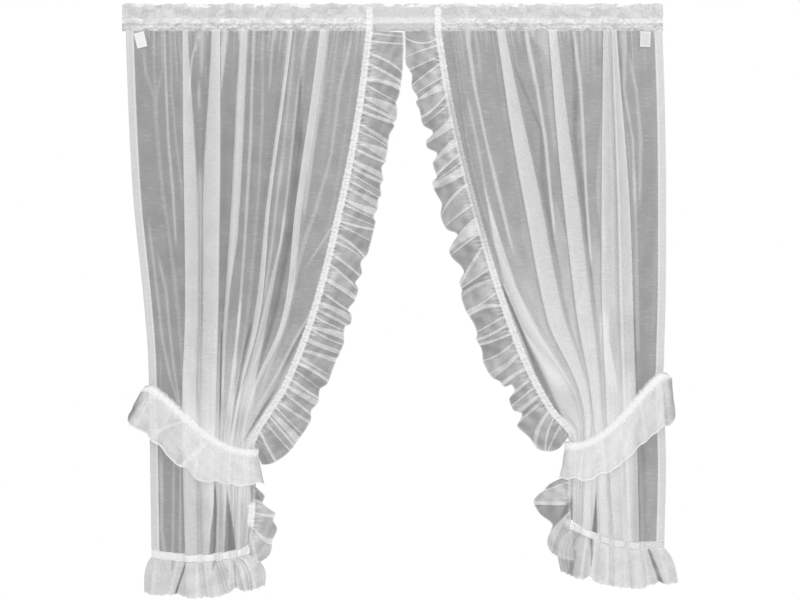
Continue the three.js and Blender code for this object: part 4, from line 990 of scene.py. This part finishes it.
def makeHeading(curtain):
    look, name = headingShape, curtain["name"]
    start, end = curtain["headingAcross"]
    across = np.linspace(start, end, int((end - start) / look["spacing"]))[None, :]
    waves = round((end - start) / look["pitch"])
    phase = (across - start) / (end - start) * waves * 2 * math.pi + math.pi / 4
    column = (across - start) / (end - start) * waves * look["columnsPerWave"]
    quick, slow = look["unevenRates"]
    top = -look["uneven"] * (1 + np.sin(column * quick) * np.cos(column * slow)) / 2
    top = top + look["topWaver"] * waver(across, look["topWaves"])
    part = np.linspace(0, 1, look["rows"])[:, None]
    drop = mixed(top, headingDrop, part)
    wave = through([0, look["stitchDrop"], headingDrop],
                   [look["topWave"], look["stitchWave"], look["bottomWave"]], np.clip(drop, 0, headingDrop))
    lead = edgeAt(curtain, "leadAcross", np.array([0.0]))[0]
    calm = 1 - look["calm"] * ramp(lead, lead + look["calmWithin"], across)
    between = ramp(lead, lead + look["betweenWithin"], across)

    line = look["frillDrop"] + look["frillWaver"] * waver(across, look["frillWaves"])
    underFrill = ramp(line - look["frillEnds"][0], line + look["frillEnds"][1], drop)
    strip = ramp(line + look["stitchedEnds"][0], line + look["stitchedEnds"][1], drop)
    frill, stitched = 1 - underFrill, underFrill * (1 - strip)
    folded = patches(across + look["foldSlant"] * drop, drop, *look["folded"]) * calm
    small = patches(across, drop, *look["small"]) * calm
    flecks = np.clip(patches(across, drop, *look["flecks"]) - look["fleckFrom"], 0, 1) * calm
    squares = np.clip(patches(across, drop, *look["squares"]) - look["squareFrom"], 0, 1)
    squares = squares * (1 - ramp(*look["squareEnds"], drop - top))
    zigzag = 0
    for at, swing, lengths, width, strength in look["zigzags"]:
        zigzag = zigzag + strength * bell(drop - at - swing * waver(across, lengths), width) * strip * calm
    least, more = look["zigzagFolds"]
    zigzag = zigzag * np.clip(least + more * folded, *look["zigzagRange"])
    (middle, swing), (above, below) = look["ragged"], look["raggedEnds"]
    ragged = middle + swing * scallop(across, *look["raggedWaves"])  # lower edge of the strip
    thin = 1 - look["raggedLess"] * ramp(ragged - above, ragged + below, drop)
    dullest, away, whiter, duller = look["dull"]
    dull = whiter * ((drop - dullest) / away) ** 2 - duller
    rows = sum(bell(drop - at, look["rowWidth"]) for at in look["rowDrops"]) * between
    border = bell(drop - look["borderDrop"] - waver(across, look["borderWaves"]), look["borderWidth"])
    border = border * between

    depth = wave * np.sin(phase) - look["foldRise"] * folded * frill
    depth = depth - look["smallRise"] * small - look["stitchedRise"] * stitched
    onFrill, onStitched, onStrip = look["frillLayers"], look["stitchedLayers"], look["stripLayers"]
    layers = (frill * (onFrill["all"] + dull + onFrill["folded"] * folded + onFrill["small"] * small
                       + onFrill["squares"] * squares)
              + stitched * (onStitched["all"] + onStitched["small"] * small + onStitched["flecks"] * flecks)
              + strip * (onStrip["all"] + onStrip["small"] * small + onStrip["zigzag"] * zigzag) * thin
              + look["rowLayers"] * rows + look["borderLayers"] * border)
    piece = makeSheet(name + "_heading_cloth", curtain, across + 0 * drop, depth, drop, across, drop,
                      layers, headingCloth)
    settle(piece, name + "_heading")


forBoth("headings", makeHeading)


# Hem: the same shirred band along the bottom, with its ruffle

hemLook = {
    "height": 18, "width": 18, "seam": 0.6, "bandRows": 13, "shirr": 8, "shirrHeight": 0.5, "slant": 1,
    "tilt": 2.0, "tiltWaves": (37, 61), "tiltLayers": 0.3, "rowLayers": 0.5, "bandInPleat": 0.25,
    "bandLeast": 2.2, "fray": {"power": 4, "layers": 1.6, "uneven": 1.2, "size": 9},
    "pastLead": 7, "pastFrom": 0.9, "leadBandFrom": (0.7, 0.85),  # shares of the way to the leading edge
    "ruffleRows": 44, "pitch": 58, "swing": 7, "spread": 0.3, "edgeHem": 4, "edgeLayers": 0.7,
    "bulgePower": 0.7, "bulgeFrom": 0.75, "outerBulge": 9, "outerTo": 0.2, "leadThinFrom": (0.76, 0.88),
    "gathers": {"pitch": 7, "width": 1.6, "length": 60, "layers": 0.7}, "gatherRise": 0.8,
    "crumpleWaves": (11, 17, 29), "crumpleSlant": 6, "edgeWaver": 1.5, "edgeWaves": (13, 21),
    "mottle": 0.13, "mottleSize": 45, "inPleat": 0.14,
    "creaseAndSlitInPleat": 0.4, "creaseFade": 0.08, "creaseRise": 1.5,
}


def makeHem(curtain):
    look, name, shape = hemLook, curtain["name"], curtain["hemRuffle"]
    across, depth, hidden, _ = smoothSection(curtain, np.array([levels["hem"]]))
    drop = dropAt(curtain, levels["hem"], across)
    cloth = lengthAlong(across, depth)
    along = (across - across[0, 0]) / (across[0, -1] - across[0, 0])
    part = np.linspace(0, 1, look["bandRows"])[:, None]
    place = 2 * part - 1
    ridges, rows = shirring(cloth, place, look)
    tilt = look["tilt"] * waver(across, look["tiltWaves"]) * (part - 0.5)
    bandDrop = drop + mixed(look["seam"], look["height"], part)
    whole = mixed(shape["band"], shape["leadBand"], ramp(*look["leadBandFrom"], along))
    whole = np.maximum(whole - frayed(place, cloth, part * look["height"], look["fray"]), look["bandLeast"])
    bandLayers = np.where(hidden > 0, look["bandInPleat"], 1) * whole + ridges
    bandLayers = bandLayers + look["rowLayers"] * rows + tilt * look["tiltLayers"]
    reaching = across + look["pastLead"] * ramp(look["pastFrom"], 1, along) + 0 * part
    band = makeSheet(name + "_hem_band_tape", curtain, reaching, depth - look["shirrHeight"] * ridges,
                     bandDrop, cloth, part * look["height"], bandLayers, shirredTape)
    settle(band, name + "_hem_band")

    reach = np.linspace(0, 1, look["ruffleRows"])[:, None]
    phase = 2 * math.pi * across / look["pitch"] + curtain["side"]
    length = mixed(shape["outerDepth"], shape["leadDepth"], along)
    flared = across + reach * mixed(-shape["outerFlare"], shape["leadFlare"], along)
    bulge = shape["bulge"] * ramp(look["bulgeFrom"], 1, along)
    bulge = bulge - look["outerBulge"] * (1 - ramp(0, look["outerTo"], along))
    flared = flared + np.sin(math.pi * reach ** look["bulgePower"]) * bulge
    threads = gathers(cloth, reach * length, cloth[0, -1], look["gathers"])
    crumple = waver(cloth + look["crumpleSlant"] * reach, look["crumpleWaves"]) * reach
    length = length + look["edgeWaver"] * waver(cloth, look["edgeWaves"])
    for place, half, rise in curtain["hemNotches"]:
        length = length - rise * bell(flared[-1:] - place, half)
    down = reach * length
    lift = look["gatherRise"] * threads - crumple
    layers = shape["layers"] * (1 + look["mottle"] * mottle(flared, down, look["mottleSize"]))
    layers = layers * np.where(hidden > 0, look["inPleat"], 1)
    layers = layers * mixed(1, shape["leadThin"], ramp(*look["leadThinFrom"], along)) + threads
    layers = layers + look["edgeLayers"] * rolledEdge(length, down, look["edgeHem"])
    # negative lines are slits: partly thinner cloth, partly painted shade between folds
    creaseAndSlitShare = np.where(hidden > 0, look["creaseAndSlitInPleat"], 1)
    for extra, line in curtain["hemCreasesAndShadedSlits"]:
        there = lineShare(line, flared, reach, look["creaseFade"])
        layers = layers + extra * there * creaseAndSlitShare
        lift = lift + look["creaseRise"] * extra * there
    swell = depth * (1 + look["spread"] * reach) + look["swing"] * reach * np.cos(phase) - lift
    ruffleDrop = drop + look["height"] + look["seam"] + down
    ruffle = makeSheet(name + "_hem_ruffle_cloth", curtain, flared, swell, ruffleDrop, cloth, down,
                       layers, ruffleCloth)
    settle(ruffle, name + "_hem_ruffle")


forBoth("hems", makeHem)


# Tie-backs: a shirred band once round the folds, with a ruffle below

tieLook = {
    "front": -31, "back": 8.5, "endsApart": 2, "width": 20, "spacing": 1.5, "bandRows": 15,
    "leanBetween": (0.12, 0.97), "leanStep": 0.02,  # where its slope is read, and how closely
    "shirr": 8, "shirrHeight": 0.5, "slant": 1, "edgeBack": 0.5, "rowBack": 0.2,
    "bandLayers": 3.8, "ridgeLayers": 0.8, "fray": {"power": 2, "layers": 2.8, "uneven": 1.0, "size": 9},
    "pucker": 0.12, "puckerWaves": ((7, 10, 21), (8, 12, 19)), "frontTurn": 0.3,
    "tuck": 4, "flare": 11, "endFlare": 0.5, "swing": 8, "flutes": 9, "ruffleRows": 40,
    "edgeHem": 3.5, "edgeWaver": 5, "edgeWaves": (29, 47, 83), "edgeLayers": (0.4, 2.2),
    "lost": 0.9, "lostSoft": 12,  # how much of that edge is lost against the cloth behind, and how softly
    "gathers": {"pitch": 7, "width": 1.7, "length": 40, "layers": 1.0}, "gatherRise": 0.7,
    "crumpleWaves": (17, 29, 43), "crumpleSlant": 10, "crumpleRise": 1.6,
    "mottle": 0.18, "mottleSize": 38, "mottleSlant": 0.6, "mottleRise": 1.5, "backLayers": 1.2,
    "endThin": 0.55, "endFrom": (0.1, 0.8), "creaseFade": 0.1, "creaseRise": 2.0,
    "under": 0.9, "underTo": 0.12,
}


def tieStations(curtain):
    look, tie = tieLook, curtain["tie"]
    span, radius = tie["inner"] - tie["outer"], (look["back"] - look["front"]) / 2
    middle, half = (look["back"] + look["front"]) / 2, math.pi * radius
    ends = np.cumsum([span - look["endsApart"], half, span, half])
    run = np.linspace(0, ends[-1], int(ends[-1] / look["spacing"]) + 1)
    inner = math.pi / 2 - (run - ends[0]) / radius
    outer = -math.pi / 2 - (run - ends[2]) / radius
    legs = [run < ends[0], run < ends[1], run < ends[2]]
    across = np.select(legs, [tie["outer"] + look["endsApart"] + run, tie["inner"] + radius * np.cos(inner),
                              tie["inner"] - (run - ends[1])], tie["outer"] + radius * np.cos(outer))
    depth = np.select(legs, [look["back"] + 0 * run, middle + radius * np.sin(inner),
                             look["front"] + 0 * run], middle + radius * np.sin(outer))
    outAcross = np.select(legs, [0 * run, np.cos(inner), 0 * run], np.cos(outer))
    outDepth = np.select(legs, [1 + 0 * run, np.sin(inner), -1 + 0 * run], np.sin(outer))
    share = np.clip((across - tie["outer"]) / span, 0, 1)

    near, step = np.clip(share, *look["leanBetween"]), look["leanStep"]
    lean = np.arctan((tieFall(tie, near + step) - tieFall(tie, near - step)) / (2 * step * span))
    return {"run": run, "across": across, "depth": depth, "outAcross": outAcross, "outDepth": outDepth,
            "share": share, "drop": tieFall(tie, share), "lean": lean}


def makeTie(curtain):
    look, name, tie = tieLook, curtain["name"], curtain["tie"]
    at = tieStations(curtain)
    run, isFront = at["run"][None, :], ramp(look["frontTurn"], -look["frontTurn"], at["outDepth"])
    bandLean = at["lean"]
    place = np.linspace(-1, 1, look["bandRows"])[:, None]
    ridges, rows = shirring(run, place, look)
    flat = place * look["width"] / 2
    down = flat * puckered(run, place, look)
    out = look["shirrHeight"] * ridges - look["edgeBack"] * place**4 - look["rowBack"] * rows
    bandLayers = look["bandLayers"] + look["ridgeLayers"] * ridges - frayed(place, run, flat, look["fray"])
    band = makeSheet(name + "_tie_band_tape", curtain,
                     at["across"] - down * np.sin(bandLean) + out * at["outAcross"],
                     at["depth"] + out * at["outDepth"], at["drop"] + down * np.cos(bandLean),
                     run, flat, bandLayers, shirredTape, inside=True)
    settle(band, name + "_tie_band")

    begin = look["width"] / 2 - look["tuck"]
    reach = np.linspace(0, 1, look["ruffleRows"])[:, None]
    lean = mixed(tie["outerLean"], tie["innerLean"], at["share"])
    length = mixed(tie["outerDepth"], tie["innerDepth"], at["share"])
    length = length * (1 - tie["endRise"] * np.maximum(-at["outAcross"], 0))
    length = length + look["edgeWaver"] * waver(run, look["edgeWaves"]) * isFront
    foot = at["across"] - begin * np.sin(bandLean) - length * np.sin(lean)
    for place, half, longer in tie["deeper"]:
        length = length + longer * bell(foot - place, half) * isFront
    down = reach * length
    phase = run / run[0, -1] * look["flutes"] * 2 * math.pi
    threads = gathers(run, down, run[0, -1], look["gathers"])
    crumple = waver(run + look["crumpleSlant"] * reach, look["crumpleWaves"]) * reach
    inward = begin * np.sin(bandLean) + down * np.sin(lean)
    below = begin * np.cos(bandLean) + down * np.cos(lean)
    across = at["across"] - inward
    (lostFrom, lostTo), soft = tie["edgeLost"], look["lostSoft"]
    lost = look["lost"] * ramp(lostFrom - soft, lostFrom, across) * (1 - ramp(lostTo, lostTo + soft, across))
    uneven = mottle(run + look["mottleSlant"] * reach * length, down, look["mottleSize"])
    backEdge, frontEdge = look["edgeLayers"]
    layers = mixed(look["backLayers"], tie["layers"], isFront) * (1 + look["mottle"] * uneven) + threads
    rolled = rolledEdge(length, down, look["edgeHem"])
    layers = layers + (backEdge + frontEdge * isFront * (1 - lost)) * rolled
    layers = layers * (1 - look["endThin"] * ramp(*look["endFrom"], -at["outAcross"]))
    lift = look["gatherRise"] * threads + look["crumpleRise"] * crumple + look["mottleRise"] * uneven * reach
    # negative lines are slits: partly thinner cloth, partly painted shade between folds
    for extra, line in curtain["tieCreasesAndShadedSlits"]:
        there = lineShare(line, across, reach, look["creaseFade"]) * isFront
        layers = layers + extra * there
        lift = lift + look["creaseRise"] * extra * there
    flare = mixed(1, look["endFlare"], abs(at["outAcross"]))
    under = look["under"] * (1 - ramp(0, look["underTo"], reach))  # its top lies under the band
    out = reach * flare * (look["flare"] + look["swing"] * np.cos(phase)) + lift - under
    ruffle = makeSheet(name + "_tie_ruffle_cloth", curtain, across + at["outAcross"] * out,
                       at["depth"] + at["outDepth"] * out, at["drop"] + below, run, down,
                       layers, ruffleCloth, inside=True)
    settle(ruffle, name + "_tie_ruffle")


forBoth("tie-backs", makeTie)


# Blank tabs sewn under the heading at the outer corners

tabShape = {"width": 25, "height": 38, "columns": 15, "rows": 23, "depth": -1.9, "curl": 1.6,
            "curlAcross": (0.6, 0.4, 2.5),
            "sideEdge": (1.0, 1.0), "endEdge": (1.5, 1.2),  # thicker edges: how far in, how wide
            "edgeRise": 0.2, "edgeLayers": 0.5}


def makeTab(curtain):
    look, name, tab = tabShape, curtain["name"], curtain["tab"]
    wide = np.linspace(-0.5, 0.5, look["columns"])[None, :] * look["width"]
    down = np.linspace(-0.5, 0.5, look["rows"])[:, None] * look["height"]
    turn = tab["tilt"]
    across = tab["across"] + wide * math.cos(turn) + down * math.sin(turn)
    drop = tab["drop"] - wide * math.sin(turn) + down * math.cos(turn)
    free = down / look["height"] + 0.5
    least, more, bend = look["curlAcross"]
    depth = look["depth"] - look["curl"] * free**2 * (least + more * np.cos(wide / look["width"] * bend))
    sides, ends = (bell(abs(place) - (look[size] / 2 - look[edge][0]), look[edge][1])
                   for place, size, edge in ((wide, "width", "sideEdge"), (down, "height", "endEdge")))
    edge = np.maximum(sides, ends)
    piece = makeSheet(name + "_label_tab_tape", curtain, across, depth - look["edgeRise"] * edge, drop,
                      wide, down, tab["layers"] + look["edgeLayers"] * edge, wovenTape)
    settle(piece, name + "_label_tab")


forBoth("tabs", makeTab)


# Stage: pale room, dim behind the cloth as where it was photographed, so that the sheer cloth shows

stageLook = {"pale": "ffffff", "dim": "757576", "light": 0.78, "floor": "f4f4f3", "floorRough": 0.9,
             "floorDrop": 2.0, "floorRadius": 2.4, "floorSides": 96,
             "keyPower": 90, "keySize": 2.6, "keyPlace": (0.5, -4.4, 1.2), "keyAim": (0, 0, -0.7)}


# whether a ray has passed through cloth
def throughCloth(tree):
    path = addNode(tree, "ShaderNodeLightPath")
    behind = addNode(tree, "ShaderNodeMath", {0: path.outputs["Transparent Depth"], 1: 0.5},
                     operation="GREATER_THAN")
    return path, behind


def makeStage():
    look = stageLook
    world = bpy.data.worlds.new("pale studio")
    bpy.context.scene.world = world
    world.use_nodes = True
    tree = world.node_tree
    tree.nodes.clear()
    path, behind = throughCloth(tree)
    seen = addNode(tree, "ShaderNodeMix", {"Factor": behind.outputs[0], "A": linear(look["pale"]),
                                           "B": linear(look["dim"])}, data_type="RGBA")
    lit = addNode(tree, "ShaderNodeMix",
                  {"Factor": path.outputs["Is Camera Ray"], "A": [look["light"]] * 3 + [1],
                   "B": seen.outputs["Result"]}, data_type="RGBA")
    glow = addNode(tree, "ShaderNodeBackground", {"Color": lit.outputs["Result"], "Strength": 1.0})
    addNode(tree, "ShaderNodeOutputWorld", {"Surface": glow.outputs["Background"]})

    shape = bmesh.new()
    bmesh.ops.create_circle(shape, cap_ends=True, segments=look["floorSides"], radius=look["floorRadius"])
    bmesh.ops.translate(shape, verts=shape.verts, vec=(0, 0, -look["floorDrop"]))
    mesh = bpy.data.meshes.new("floor")
    shape.to_mesh(mesh)
    shape.free()
    floor = bpy.data.objects.new("floor", mesh)
    bpy.context.scene.collection.objects.link(floor)
    material, tree = newMaterial("pale painted floor")
    _, behind = throughCloth(tree)
    paint = addNode(tree, "ShaderNodeMix", {"Factor": behind.outputs[0], "A": linear(look["floor"]),
                                            "B": linear(look["dim"])}, data_type="RGBA")
    shader = addNode(tree, "ShaderNodeBsdfPrincipled",
                     {"Base Color": paint.outputs["Result"], "Roughness": look["floorRough"]})
    addNode(tree, "ShaderNodeOutputMaterial", {"Surface": shader.outputs["BSDF"]})
    mesh.materials.append(material)

    lamp = bpy.data.lights.new("soft key", "AREA")
    lamp.energy, lamp.size = look["keyPower"], look["keySize"]
    key = bpy.data.objects.new("soft key", lamp)
    key.location = look["keyPlace"]
    aim = np.array(look["keyAim"]) - np.array(look["keyPlace"])
    key.rotation_mode = "QUATERNION"
    key.rotation_quaternion = Vector(aim).to_track_quat("-Z", "Y")
    bpy.context.scene.collection.objects.link(key)


cameraLook = {"lens": 85, "sensor": 36, "frameWidth": 1.96, "across": 0.0147, "up": -0.7228}


def makeCamera():
    look = cameraLook
    data = bpy.data.cameras.new("camera")
    data.lens, data.sensor_width = look["lens"], look["sensor"]
    camera = bpy.data.objects.new("camera", data)
    away = look["frameWidth"] * look["lens"] / look["sensor"]
    camera.location = (look["across"], -away, look["up"])
    camera.rotation_euler = (math.pi / 2, 0, 0)
    bpy.context.scene.collection.objects.link(camera)
    bpy.context.scene.camera = camera


makeStage()
makeCamera()
bpy.context.scene.view_settings.view_transform = "Standard"
bpy.context.scene.cycles.transparent_max_bounces = 48  # many layers of cloth lie behind one another
print("stage made")
